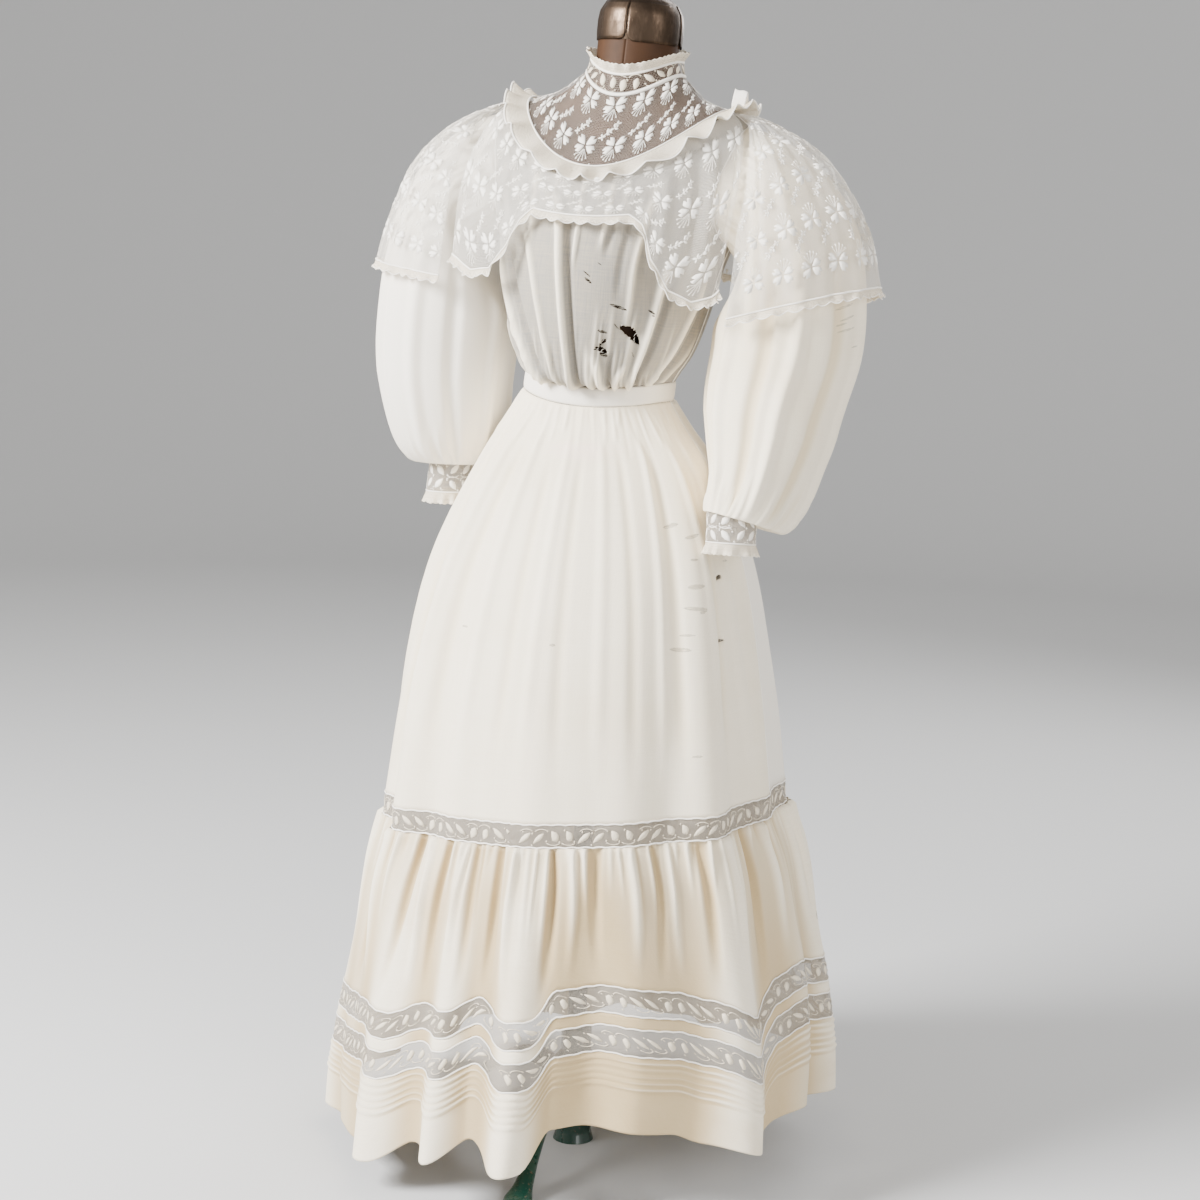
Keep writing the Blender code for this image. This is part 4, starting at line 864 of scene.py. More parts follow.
TUCK_TOP, TUCK_STEP, TUCK_WIDTH, TUCK_BACK = 0.16, 0.17, 0.075, 0.35    # in rows below the third lace
TUCK_SHADE = 3.2        # how strongly painted shade marks the tucks in the look


def build_bodice(settings):
    """Bodice front and back, with soft folds, fine gathers and the torn places of the front."""
    gap = SEAM / BODICE[0].half_width
    surface = ring_surface(BODICE)
    for name, middle, folds, rips, seed, steps, columns in (
            ("bodice_front", 0.0, BODICE_FOLDS, BODICE_RIPS, 3, 116, 181),
            ("bodice_back", pi, BACK_FOLDS, (), 4, 52, 101)):
        rows = between(BODICE, 0, NECKLINE, steps)
        rows[-1] -= BEND_GAP
        reach = armhole_turn(rows)[0 if rips else 1]
        share = np.linspace(-1, 1, columns)
        turn = middle + share * (reach - gap)[:, None]
        at = rows[:, None] + 0 * turn
        start = np.degrees(middle) - 62
        fine = gathers(seed, 40, start, start + 124, 0.25, 3.4, 1.5, 0.0030)
        fine += gathers(seed + 10, 30, start, start + 124, 7.9, 5.6, 2.0, 0.0016)
        fade = edge_fade(share, 0.10) * np.clip((at + 0.1) / 0.5, 0, 1)
        heights = fade * crease_heights(turn, at, folds + fine)
        cloth = cloth_of(raised(surface(turn, at), heights), heights=heights)
        torn_panel(name, cloth, f"{name}_voile", rips, surface, BODICE, 30, 5, settings)


def build_yoke(settings):
    """Yoke front and back of flowered net, stretched over the form."""
    rows = between(BODICE, NECKLINE, COLLAR_FOOT, 20)
    rows[0] += BEND_GAP
    gap = SEAM / BODICE[COLLAR_FOOT].half_width
    share = np.linspace(-1, 1, 91) * (QUARTER - gap)
    for name, middle in (("yoke_front", 0.0), ("yoke_back", pi)):
        cloth = cloth_of(ring_surface(BODICE)(middle + share[None, :], rows[:, None]))
        made = lay(f"{name}_net", cloth, "yoke_net", [name], settings.net)
        trims = net_flowers(name, cloth, 0.016, 0.004 if middle == 0.0 else 0.0, settings)


def build_collar(settings):
    """The standing band, its piped foot, and a waved ruffle with a scalloped edge on top."""
    turn = closed_angles(120)
    base = ring_surface(BODICE)(turn, np.full(turn.shape, float(COLLAR_FOOT)))
    inward = -outward(turn)
    share = np.linspace(0, 1, 9)[:, None, None]
    top = COLLAR_HEIGHT * (0.66 + 0.34 * np.cos(turn) ** 2)
    points = base + SEAM * UP + share * (inward * COLLAR_TAPER + top[:, None] * UP)
    cloth = cloth_of(points, around=True)
    made = lay("collar_net", cloth, "yoke_net", ["collar"], settings.net)
    trims = [band_leaves("collar_leaves", cloth, 0.95), seam_cord("collar_piping", cloth, 0, 0.0025),
             seam_cord("collar_seam", cloth, -1, 0.0015)]
    wave = np.sin(turn * 20 + 0.8 * np.sin(turn * 3)) * (0.8 + 0.3 * np.sin(turn * 5 + 1))
    scallop = 0.0016 * np.abs(np.sin(turn * 30))
    share = np.linspace(0, 1, 11)[:, None]
    flare = COLLAR_TAPER - COLLAR_RUFFLE_FLARE * share + COLLAR_WAVE * wave * share
    rise = top + 2 * SEAM + (0.74 * COLLAR_RUFFLE_HEIGHT - 2 * SEAM - 0.0014 + scallop) * share
    cloth = cloth_of(base + inward * flare[..., None] + rise[..., None] * UP, around=True)
    made = lay("collar_frill", cloth, "edging", ["collar_ruffle"], settings.net,
               free_edge_last=True)


def build_neck_ruffle(settings):
    """A frill over the seam of yoke and cape collar, with uneven waves and a scalloped edge."""
    turn = closed_angles(420)
    base = ring_surface(BODICE)
    over_shoulder = np.sin(turn) ** 4
    swing = turn * 12 + 0.55 * np.sin(turn * 5)
    wave = 2.8 * NECK_WAVE * np.cos(2 * swing) * (0.85 + 0.35 * np.sin(turn * 7 + 0.6))
    lobe = np.abs(np.sin(swing)) * (0.8 + 0.2 * np.sin(turn * 7 + 2))
    stations = [(NECK_RUFFLE_IN + 0 * turn, LAY + 0 * turn),
                (0 * turn, RUFFLE_MIDDLE_OFF + SHOULDER_MIDDLE_OFF * over_shoulder + wave / 3),
                (-(NECK_RUFFLE_OUT - 0.30 + 0.34 * lobe) * (1 - 0.55 * np.sin(turn) ** 2),
                 RUFFLE_EDGE_OFF + SHOULDER_EDGE_OFF * over_shoulder + wave)]
    at = smooth([row for row, off in stations], np.linspace(2, 0, 11))
    off = smooth([off for row, off in stations], np.linspace(2, 0, 11))
    points = moved_out(base, turn + 0 * at, NECKLINE + at, off)
    cloth = cloth_of(points, around=True)
    made = lay("neckline_frill", cloth, "edging", ["neckline_ruffle"], settings.net)
    trims = [seam_cord("neckline_edge", cloth, 0, 0.0012, proud=0.0002),
             seam_cord("neckline_seam", cloth, -1, 0.0013)]


CAPE_FRONT_FOLDS = table(Crease, [
    (-66, 4.6, -60, 0.6, 2, 5, 0.0046), (-50, 4.8, -47, 0.8, -2, 4, -0.0036),
    (-38, 4.4, -36, 0.9, 1, 4, 0.0034), (-76, 4.4, -74, 0.8, 1, 4, -0.0034),
    (38, 4.4, 36, 0.9, -1, 5, 0.0034), (52, 4.9, 48, 0.8, 2, 5, -0.0034), (64, 4.9, 58, 0.7, -2, 5, 0.004),
    (78, 4.8, 76, 0.8, 1, 4, -0.003), (-8, 2.6, -6, 0.4, 1, 6, 0.0016), (14, 2.6, 12, 0.4, 1, 7, -0.0014),
])
CAPE_BACK_FOLDS = table(Crease, [
    (-64, 4.6, -58, 0.6, 2, 6, 0.0044), (-44, 4.4, -40, 0.8, -2, 5, -0.0034),
    (-26, 4.2, -24, 0.7, 2, 7, 0.004), (-6, 4.2, -5, 0.7, 1, 6, -0.003), (12, 4.2, 11, 0.6, -1, 7, 0.0036),
    (33, 4.3, 30, 0.8, 2, 5, -0.0034), (52, 4.6, 48, 0.7, -2, 6, 0.0044), (73, 4.7, 70, 0.8, 1, 5, -0.0032),
])
SLEEVE_CAPE_FOLDS = {
    RIGHT: table(Crease, [
        (-60, 0.7, -62, 6.8, 2, 6, 0.006), (-42, 0.9, -44, 6.8, -2, 5, -0.005),
        (-24, 0.6, -26, 6.8, 3, 6, 0.0054), (-6, 0.8, -6, 6.6, 2, 5, -0.004),
        (12, 0.6, 14, 6.8, -3, 6, 0.0054), (30, 0.8, 33, 6.8, 2, 5, -0.0046),
        (48, 0.6, 52, 6.8, 3, 6, 0.0056), (66, 0.9, 70, 6.8, -2, 5, -0.0044),
    ]),
    LEFT: table(Crease, [
        (-64, 0.7, -68, 6.8, -2, 6, 0.0056), (-44, 0.9, -46, 6.8, 2, 6, -0.0046),
        (-22, 0.6, -26, 6.8, -3, 7, 0.0052), (2, 0.8, 2, 6.6, 2, 6, -0.004),
        (20, 0.6, 24, 6.8, 2, 5, 0.006), (36, 0.8, 41, 6.8, -2, 5, -0.005), (54, 0.6, 58, 6.8, 2, 6, 0.006),
        (72, 0.9, 74, 6.8, 2, 4, -0.0046),
    ]),
}


def lay_cape(name, points, away, facing, down, beats, flowers_at, settings):
    """One part of the cape, and the narrow scalloped frill that hangs from its last row.

    down says that the finished rows go down, facing -1 turns the columns round, and beats are how
    often the frill waves, drifts and scallops for each column. The frill swings out along away.
    """
    count = np.arange(points.shape[1])
    share = np.linspace(0, 1, 7)[:, None]
    wave = CAPE_WAVE * np.sin(count * beats[0] + FRILL_TURNS * np.sin(count * beats[1]))
    swing = FRILL_OUT * share + wave * share**1.5
    drop = (FRILL_DROP - 0.003 + 0.004 * np.abs(np.sin(count * beats[2]))) * share
    frill = points[-1] + away * swing[..., None] - drop[..., None] * UP
    rows, columns = slice(None, None, 1 if down else -1), slice(None, None, facing)
    cloth = cloth_of(points[rows, columns][:, ::2])
    edge = cloth_of(frill[rows, columns])
    seam, hem = (0, -1) if down else (-1, 0)
    made = lay(f"{name}_net", cloth, "net", [name], settings.net)
    trims = [lay(f"{name}_frill", edge, "edging", (), settings.net, free_edge_last=down),
             seam_cord(f"{name}_seam", edge, seam, 0.0012), seam_cord(f"{name}_edge", edge, hem, 0.0007)]
    trims += net_flowers(name, cloth, *flowers_at, settings)


def build_cape(settings):
    """Front, back and two sleeve capes of net; each lower edge carries a narrow scalloped frill."""
    turn = np.radians(np.linspace(-CAPE_SPAN, CAPE_SPAN, 261))
    for word, rows, edge, facing, folds in (("front", CAPE_FRONT, FRONT_EDGE, 1, CAPE_FRONT_FOLDS),
                                            ("back", CAPE_BACK, BACK_EDGE, -1, CAPE_BACK_FOLDS)):
        reach = np.interp(turn, *np.array([(radians(spot.turn), spot.reach) for spot in edge]).T)
        share = np.linspace(0.0, 1.0, 44)[:, None]
        at = 0.02 + share * (reach - 0.02)
        points = cape_surface(rows, facing)(turn + 0 * at, at)
        heights = edge_fade(np.degrees(turn) / CAPE_SPAN, 0.12) * crease_heights(turn, at, folds)
        away = outward(turn, facing)
        points = points + (heights * np.clip(share / 0.15, 0, 1))[..., None] * away
        lay_cape(f"cape_{word}", points, away, facing, False, (0.42, 0.07, 0.36),
                 (0.030, 0.012), settings)
    phi = np.radians(np.linspace(-CAPE_SPAN, CAPE_SPAN, 221))
    for side, word in ((RIGHT, "right"), (LEFT, "left")):
        rings = []
        for row in SLEEVE_CAPE[side]:
            x = row.x_side + (row.x_crest - row.x_side) * np.cos(phi)
            z = row.z_side + (row.z_crest - row.z_side) * np.cos(phi)
            rings.append(np.stack([side * x, -row.y_side * np.sin(phi), z], axis=-1))
        at = np.linspace(0.03, len(rings) - 1, 54)
        fine = gathers(7 + side, 34, -84, 84, 0.5, 3.2, 2.6, 0.0030)
        heights = crease_heights(phi[None, :], at[:, None], SLEEVE_CAPE_FOLDS[side] + fine)
        fade = edge_fade(np.degrees(phi) / CAPE_SPAN, 0.10) * np.clip((at - 0.1) / 1.2, 0, 1)[:, None]
        away = np.stack([side * np.cos(phi), -np.sin(phi), 0 * phi], axis=-1)
        points = smooth(rings, at) + (heights * fade)[..., None] * away
        lay_cape(f"sleeve_cape_{word}", points, away, side, True, (0.40, 0.09, 0.37),
                 (0.040, 0.0), settings)


SLEEVE_FOLDS = {
    RIGHT: table(Crease, [
        (-8, 2.0, 6, 9.2, 4, 10, 0.004), (30, 2.4, 34, 9.4, -4, 9, 0.0052),
        (62, 2.6, 58, 9.4, 3, 9, -0.0044), (96, 1.8, 88, 9.4, 3, 10, 0.005),
        (128, 2.2, 118, 9.3, -4, 9, -0.004), (160, 2.2, 150, 9.3, 4, 10, 0.0046),
        (200, 2.2, 206, 9.4, -3, 10, 0.0044), (238, 2.4, 232, 9.4, 4, 9, -0.0042),
        (270, 2.2, 268, 9.4, 3, 10, 0.005), (312, 2.4, 316, 9.4, -3, 9, -0.0044),
    ]),
    LEFT: table(Crease, [
        (6, 2.0, -6, 9.3, 4, 10, 0.0046), (36, 2.6, 40, 9.4, -4, 9, -0.0044),
        (60, 2.0, 68, 9.4, 4, 9, 0.0056), (92, 2.4, 96, 9.4, -3, 9, -0.0044),
        (118, 2.0, 122, 9.3, 3, 10, 0.0052), (152, 2.4, 146, 9.3, 4, 9, -0.004),
        (196, 2.2, 190, 9.4, -4, 10, 0.0046), (232, 2.2, 236, 9.4, 3, 10, 0.0044),
        (276, 2.4, 270, 9.4, 3, 9, -0.0042), (318, 2.2, 322, 9.4, -4, 10, 0.005),
    ]),
}


def build_sleeves(settings):
    """Two full sleeves, gathered into the armhole and the cuff."""
    for side, word in ((RIGHT, "right"), (LEFT, "left")):
        phi = side * closed_angles(148)
        rings = sleeve_rings(side, phi)
        last = len(rings) - 1
        at = np.concatenate([np.linspace(0, 1, 10)[:-1], np.linspace(1, 8, 40)[:-1],
                             np.linspace(8, last - 0.01, 22)])
        points = smooth(rings, at)
        away = points - points.mean(axis=1, keepdims=True)
        away /= np.linalg.norm(away, axis=-1, keepdims=True)
        fine = gathers(21 + side, 54, 0, 360, 0.15, 1.9, 3.4, 0.0030)
        fine += gathers(31 + side, 64, 0, 360, last - 0.1, 7.2, 3.2, 0.0030)
        heights = 1.35 * crease_heights(side * phi, at[:, None], SLEEVE_FOLDS[side] + fine)
        heights *= np.interp(at, [0, 0.4, 8.5, last], [0, 1, 1, 0.15])[:, None]
        cloth = cloth_of(points + away * heights[..., None], around=True, heights=heights)
        look = "sleeve_voile" if side == LEFT else "voile"
        made = lay(f"sleeve_{word}_cloth", cloth, look, [f"sleeve_{word}"], settings.cloth)
        build_cuff(side, word, settings)


def cuff_places(cloth):
    """Two rounds of the vine on a cuff, half a repeat apart."""
    start, end = cloth.across[0, 0], cloth.across[0, -1]
    return [(start + VINE_REPEAT * (number + 0.5 * row), cloth.along[-1] * (0.28 + 0.46 * row))
            for row in (0, 1) for number in range(int((end - start) / VINE_REPEAT) + 2)]


def build_cuff(side, word, settings):
    """A straight cuff below the sleeve's last ring, and a waved scalloped ruffle below the cuff."""
    foot = SLEEVE_LOW[side][-1]
    top = foot._replace(z=foot.z - 1.5 * SEAM, turn=90)
    low = top._replace(x=top.x + CUFF_DRIFT_X, y=top.y + CUFF_DRIFT_Y, z=top.z - CUFF_DROP[side])
    rings = np.array(section_rings(side, [top, low], side * closed_angles(96)))
    share = np.linspace(0, 1, 13)[:, None, None]
    cloth = cloth_of(rings[0] * (1 - share) + rings[1] * share, around=True)
    name = f"cuff_{word}"
    made = lay(f"{name}_net", cloth, "band_net", [name], settings.net)
    trims = [stamp(f"{name}_leaves", cloth, vine(), cuff_places(cloth)),
             seam_cord(f"{name}_seam", cloth, 0, 0.0011), seam_cord(f"{name}_hem", cloth, -1, 0.0010)]
    phi = side * closed_angles(192)
    high = low._replace(z=low.z - SEAM)
    flared = low._replace(across=low.across + RUFFLE_FLARE, deep=low.deep + RUFFLE_FLARE,
                          z=low.z - RUFFLE_DROP + 0.0015)
    rings = np.array(section_rings(side, [high, flared], phi))
    away = rings[1] - rings[1].mean(axis=0)
    away /= np.linalg.norm(away, axis=1, keepdims=True)
    wave = CUFF_WAVE * np.sin(phi * 12 + 1.2 * np.sin(phi * 3))
    scallop = 0.0015 * np.abs(np.sin(phi * 16))
    share = np.linspace(0, 1, 9)[:, None, None]
    points = rings[0] * (1 - share) + rings[1] * share
    points = points + share * (away * wave[:, None] - scallop[:, None] * UP)
    cloth = cloth_of(points, around=True)
    made = lay(f"cuff_frill_{word}", cloth, "edging", [f"cuff_ruffle_{word}"], settings.net,
               free_edge_last=True)


def build_waistband(settings):
    """A doubled band between the bodice and the skirt, with rounded edges."""
    turn = closed_angles(180)
    low = ring_surface(SKIRT)(turn, np.full(turn.shape, float(WAIST))) + SEAM / 2 * UP
    high = ring_surface(BODICE)(turn, np.zeros(turn.shape)) - SEAM / 2 * UP
    share = np.linspace(0, 1, 12)[:, None]
    proud = BAND_PROUD * (1 - (2 * share - 1) ** 6) + 0.0003 * np.sin(turn * 9 + share * 3)
    points = low + (high - low) * share[..., None] + outward(turn) * proud[..., None]
    cloth = cloth_of(points, around=True)
    made = lay("waistband_cloth", cloth, "voile", ["waistband"], 3 * settings.cloth)


SKIRT_CREASES = table(Crease, [
    (-72, 9.1, -56, 17.6, 3, 4, 0.007), (-60, 9.1, -48, 17.2, 2, 3.6, -0.006),
    (-46, 9.2, -35, 17.4, 2, 3.4, 0.0054), (-33, 9.2, -25, 16.8, -2, 3.4, -0.0048),
    (-21, 9.2, -17, 17.6, 1, 3.4, 0.005), (-8, 9.4, -7, 16.2, 1, 3, -0.004),
    (1, 9.3, 1, 17.4, 1, 3, 0.0044), (12, 9.2, 9, 16.6, -1, 3, -0.004), (24, 9.2, 18, 17.4, 1, 3.4, 0.0048),
    (34, 9.1, 27, 16.9, 2, 3, -0.0046), (44, 9.1, 40, 17.4, 1, 2.8, 0.0066),
    (49, 9.1, 45, 16.6, 1, 3, -0.0056), (62, 9.8, 58, 16.8, 1, 3, 0.0064),
    (67, 9.4, 62, 16.4, 1, 3, -0.006), (80, 9.1, 72, 17.2, -2, 4, 0.0056),
])


def build_skirt(settings):
    """Upper skirt front and back, gathered at the waist, finely at the front and fully at the back."""
    gap = SEAM / SKIRT[WAIST].half_width
    share = np.linspace(-1, 1, 185)
    back_gathers = gathers(42, 60, 96, 264, 17.8, 13.0, 2.6, 0.0040)
    back_gathers += gathers(43, 22, 96, 264, 17.6, 9.3, 4.6, 0.0060)
    front_creases = SKIRT_CREASES + gathers(41, 40, -84, 84, 17.8, 15.8, 1.7, 0.0030)
    for name, middle, creases, depth, look, rips, steps in (
            ("skirt_front", 0.0, front_creases, 0.62, "skirt_voile", SKIRT_RIPS, 98),
            ("skirt_back", pi, back_gathers, 1.0, "voile", (), 48)):
        turn = middle + share * (QUARTER - gap)
        points, at = skirt_grid(LACE_1_TOP, WAIST, steps, turn)
        ease = np.interp(at, [LACE_1_TOP, LACE_1_TOP + 0.5, WAIST - 0.15, WAIST], [0, 1, 1, 0.2])
        heights = ease * edge_fade(share, 0.06) * crease_heights(turn, at, creases) * depth
        cloth = cloth_of(raised(points, heights), heights=heights)
        torn_panel(name, cloth, look, rips, skirt_surface, SKIRT, 70, 6, settings)


def band_cloth(low, high, steps, columns, creases=()):
    """The cloth of a band right round the skirt between two seams."""
    turn = closed_angles(columns)
    points, at = skirt_grid(low, high, steps, turn)
    heights = np.interp(at, [low, low + 0.6, high - 0.05, high], [0, 1, 1, 0.5]) * crease_heights(
        turn, at, creases, 0.62, 0.14)
    # Its fold value also takes the skirt's broad folds, for painted shade.
    return cloth_of(raised(points, heights, around=True), around=True, heights=heights + broad_fold_shade(turn, at))


def broad_fold_shade(turn, at):
    """The skirt's own deep folds as heights for the painted shade of the look: they come in below the first
    lace.
    """
    return np.clip((LACE_1 - at) / 3, 0, 1) * 0.25 * (fold_height(FLOUNCE_FOLDS, turn) - 0.016)


# Flounce: the deep folds that the front falls in, from the gathers down to the second lace.
FLOUNCE_CREASES = table(Crease, [
    (-55, 5.0, -53, 8.3, 1, 2.6, -0.008), (-43, 4.9, -44, 8.3, -1, 2.2, 0.007),
    (-34, 5.0, -31, 8.4, 1, 2.2, -0.009), (-26, 5.0, -27, 8.4, 1, 2.0, 0.008),
    (-20, 4.9, -19, 8.4, -1, 2.0, -0.01), (-15, 5.2, -15, 8.4, 1, 1.8, 0.006),
    (-10, 4.9, -11, 8.4, 1, 1.8, -0.007), (-4, 4.9, -3, 8.4, 1, 1.9, -0.01), (2, 5.0, 3, 8.4, -1, 1.8, 0.007),
    (11, 4.9, 12, 8.4, 1, 2.2, -0.011), (17, 5.0, 17, 8.4, 1, 1.8, 0.006),
    (25, 5.1, 24, 8.3, -1, 2.2, -0.008), (34, 5.2, 32, 8.4, 1, 2.0, 0.006),
    (40, 5.0, 39, 8.4, 1, 2.0, -0.007), (46, 5.1, 45, 8.4, -1, 1.9, 0.006),
    (53, 5.0, 51, 8.4, 1, 2.0, -0.008), (63, 5.1, 60, 8.4, 1, 2.4, 0.007), (72, 4.9, 71, 8.4, 1, 2.4, -0.011),
    (82, 5.0, 80, 8.4, 1, 2.2, 0.006), (90, 5.0, 90, 8.4, 1, 2.2, -0.008),
])


def build_flounce(settings):
    """The gathered flounce, three lace bands and the strip between two of them."""
    top = float(LACE_1)
    creases = FLOUNCE_CREASES + gathers(51, 150, 0, 360, top + 0.1, 5.6, 0.9, 0.0062)
    creases += gathers(52, 50, 98, 300, top + 0.3, 4.9, 2.1, 0.0100, least=0.85)
    cloth = band_cloth(LACE_2_TOP, LACE_1, 22, 920, creases)
    made = lay("flounce_cloth", cloth, "flounce_voile", ["flounce"], settings.cloth)
    for number, low, high, rests_on in ((1, LACE_1, LACE_1_TOP, "skirt_front_cloth"),
                                        (2, LACE_2, LACE_2_TOP, "flounce_cloth"),
                                        (3, LACE_3, LACE_3_TOP, "flounce_cloth")):
        cloth = band_cloth(low, high, 6, 420)
        name = f"lace_band_{number}"
        made = lay(f"{name}_net", cloth, "band_net", [name], settings.net)
        trims = [band_leaves(f"{name}_leaves", cloth, 1.0, 0.01 * number),
                 seam_cord(f"{name}_lower_seam", cloth, 0, 0.0011, 0.0012),
                 seam_cord(f"{name}_upper_seam", cloth, -1, 0.0011, 0.0012)]
    cloth = band_cloth(LACE_3_TOP, LACE_2, 5, 420)
    made = lay("flounce_strip_cloth", cloth, "hem_voile", ["flounce_strip"], settings.cloth)


def build_shoulder_loop(settings):
    """A loop of white ribbon that stands on the wearer's left shoulder, its face to the front."""
    angle = np.radians(np.linspace(-64, 244, 45))[:, None]
    share = np.linspace(-1, 1, 11)
    y = -0.008 - 0.0058 * np.cos(angle) + 0.0006 * share
    z = 1.4262 + 0.0122 * np.sin(angle) - 0.0012 * share * np.sin(angle) + 0.0006 * np.sin(share * 4)
    points = np.stack([0.1500 + 0.0088 * share + 0.0008 * np.sin(angle * 2), y, z], axis=-1)
    cloth = cloth_of(points)
    made = lay("ribbon_loop", cloth, "ribbon", ["shoulder_loop"], settings.cloth)


def build_hem(settings):
    """The deep hem panel: each tuck rises along its width to a fold and falls back in a short step."""
    turn = closed_angles(420)
    points, at = skirt_grid(HEM, LACE_3, 38, turn)
    tucks = np.zeros(at.shape)
    for number in range(settings.tucks):
        away = (at - (LACE_3 - TUCK_TOP - TUCK_STEP * number)) / TUCK_WIDTH
        rise = np.where((away > -1) & (away <= 0), 1 + away, 0)
        rise = rise + np.where((away > 0) & (away < TUCK_BACK), 1 - away / TUCK_BACK, 0)
        tucks += settings.tuck_depth * rise
    # Painted shade along the tucks, added to the painted shade of the broad folds.
    shade = np.where(at > LACE_3 - 0.1 - TUCK_STEP * settings.tucks,
                     TUCK_SHADE * (tucks - 0.4 * settings.tuck_depth), 0)
    points = raised(points, tucks + 0 * turn, around=True)
    cloth = cloth_of(points, around=True, heights=broad_fold_shade(turn, at) + shade)
    made = lay("hem_panel_cloth", cloth, "hem_voile", ["hem_panel"], settings.cloth)


def closed_loft(name, rings, look, node):
    """A closed body through rings of equally many points, with a centre point at each end."""
    rings = np.asarray(rings, float)
    rows, columns = rings.shape[:2]
    here, last = np.arange(columns), (rows - 1) * columns
    beside = (here + 1) % columns
    faces = grid_faces(rows, columns, True).reshape(-1, 4).tolist()
    faces += np.stack([beside, here, np.full(columns, rows * columns)], axis=-1).tolist()
    faces += np.stack([last + here, last + beside, np.full(columns, rows * columns + 1)], axis=-1).tolist()
    ends = [rings[end].mean(axis=0)[None] for end in (0, -1)]
    made = new_object(name, np.concatenate([rings.reshape(-1, 3)] + ends), faces, look)
    made.data.set_sharp_from_angle(angle=radians(38))
    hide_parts(node)


def build_form(settings):
    """The cloth-covered torso and neck inside the dress, with sunk seams down its front, back and sides."""
    seams = np.radians([1.5, 91.5, 181.5, 271.5])
    beside = np.concatenate([seams + step for step in (-0.05, -0.02, 0.0, 0.02, 0.05)])
    turn = np.sort(np.concatenate([closed_angles(96), beside]) % (2 * pi))
    rings = list(ring_surface(FORM_HIPS)(turn, np.linspace(0, len(FORM_HIPS) - 1, 25)[:, None] + 0 * turn))
    at = np.interp(np.linspace(0, 1, 40), np.linspace(0, 1, len(FORM_ROWS)), FORM_ROWS)[:, None]
    inset = np.interp(at, range(len(FORM_INSETS)), FORM_INSETS)
    rings += list(moved_out(ring_surface(BODICE), turn + 0 * at, at + 0 * turn, -inset + 0 * turn))
    for levels in NECK_LEVELS:
        ring = [Ring(NECK_RADIUS, NECK_RADIUS, NECK_RADIUS, *levels)] * 2
        rings.append(ring_surface(ring)(turn, np.zeros(turn.shape)))
    away = np.abs((turn[:, None] - seams + pi) % (2 * pi) - pi).min(axis=1)
    sunk = 0.0011 * np.clip(1 - away / 0.03, 0, 1)
    rings = np.array(rings) - outward(turn) * sunk[:, None]
    closed_loft("form_cover", leaned(rings), "form_cloth", "form_body")


# The cap's plates: first and last turn in degrees, how far each hangs below the cap's foot, and how
# proud it is.
Plate = namedtuple("Plate", "start end foot proud")
CAP_PLATES = table(Plate, [
    (-92, 0.5, 0.0006, 0.0016), (2.5, 88, 0.0026, 0.0006), (90, 182, 0.0036, 0.0016),
    (184, 266, 0.0022, 0.0006),
])
PLATE_TOP, PLATE_CORNER = 0.05, 0.01


def build_cap_plates(tilt, place):
    """Four curved plates round the cap, their lower corners rounded, each a grid of turn and height."""
    profile = np.array(CAP_PROFILE[1:-1][::-1], float)
    share = np.linspace(0, 1, 13)[:, None]
    vertices = []
    for plate in CAP_PLATES:
        turn = np.radians(np.linspace(plate.start, plate.end, 41))
        reach = np.minimum(turn - turn[0], turn[-1] - turn) * NECK_RADIUS
        cut = np.maximum(PLATE_CORNER - reach, 0)
        low = -plate.foot + PLATE_CORNER - np.sqrt(np.maximum(PLATE_CORNER**2 - cut**2, 0))
        height = low + (PLATE_TOP - low) * share
        radius = np.interp(height, profile[:, 1], profile[:, 0]) + plate.proud
        grid = np.stack([radius * np.sin(turn), -radius * np.cos(turn), height], axis=-1)
        vertices.append((grid @ tilt.T + place).reshape(-1, 3))
    faces = np.concatenate([grid_faces(13, 41, False).reshape(-1, 4) + number * 13 * 41
                            for number in range(len(CAP_PLATES))])
    made = new_object("cap_plates", np.concatenate(vertices), faces, "cap_metal")
    thicken(made, 0.0012)


def rings_at(radius, height, count):
    """Level rings round the pole's axis from columns of radius and height."""
    angle = closed_angles(count)
    parts = radius * np.sin(angle), -radius * np.cos(angle), height + 0 * angle
    return np.stack(np.broadcast_arrays(*parts), axis=-1)


def turned_rings(profile, steps, count):
    """Rings of a profile of radius and height, with points added along each straight run."""
    profile = np.array([spot for spot in profile if spot[0] > 0][::-1], float)
    at = np.linspace(0, len(profile) - 1, steps)
    radius, height = (np.interp(at, np.arange(len(profile)), column)[:, None] for column in profile.T)
    return rings_at(radius, height, count)


def build_stand(settings):
    """The metal cap, and the pole, hub and three legs below the form."""
    tilt = np.array([[cos(LEAN_X), 0, sin(LEAN_X)], [0, 1, 0], [-sin(LEAN_X), 0, cos(LEAN_X)]])
    place = leaned([0.0, 0.0, NECK_TOP + 0.0003])
    cap = turned_rings(CAP_PROFILE, 36, 96) @ tilt.T + place
    closed_loft("cap_dome", cap, "cap_metal", "neck_cap")
    build_cap_plates(tilt, place)
    level = np.linspace(HUB_TOP + 0.0003, FORM_HIPS[0].z_side - 0.0003, 12)[:, None]
    closed_loft("pole", rings_at(POLE_RADIUS, level, 48), "foot_paint", "stand_pole")
    hub = turned_rings([(radius, share * HUB_TOP) for radius, share in HUB_PROFILE], 60, 64)
    closed_loft("hub", hub, "foot_paint", "stand_hub")
    at, step = np.linspace(0, len(LEG) - 1, 40), closed_angles(24)
    reach, level, half_width, half_height = smooth([list(part) for part in LEG], at).T[:, :, None]
    sideways = half_width * np.cos(step)
    upward = np.maximum(level + half_height * np.sin(step), 0.0)
    for word, turn in LEG_TURNS.items():
        x = sideways * cos(radians(turn)) + reach * sin(radians(turn))
        y = sideways * sin(radians(turn)) - reach * cos(radians(turn))
        rings = np.stack([x, y, upward], axis=-1)[::-1]
        closed_loft(f"leg_{word}", rings, "foot_paint", f"stand_leg_{word}")


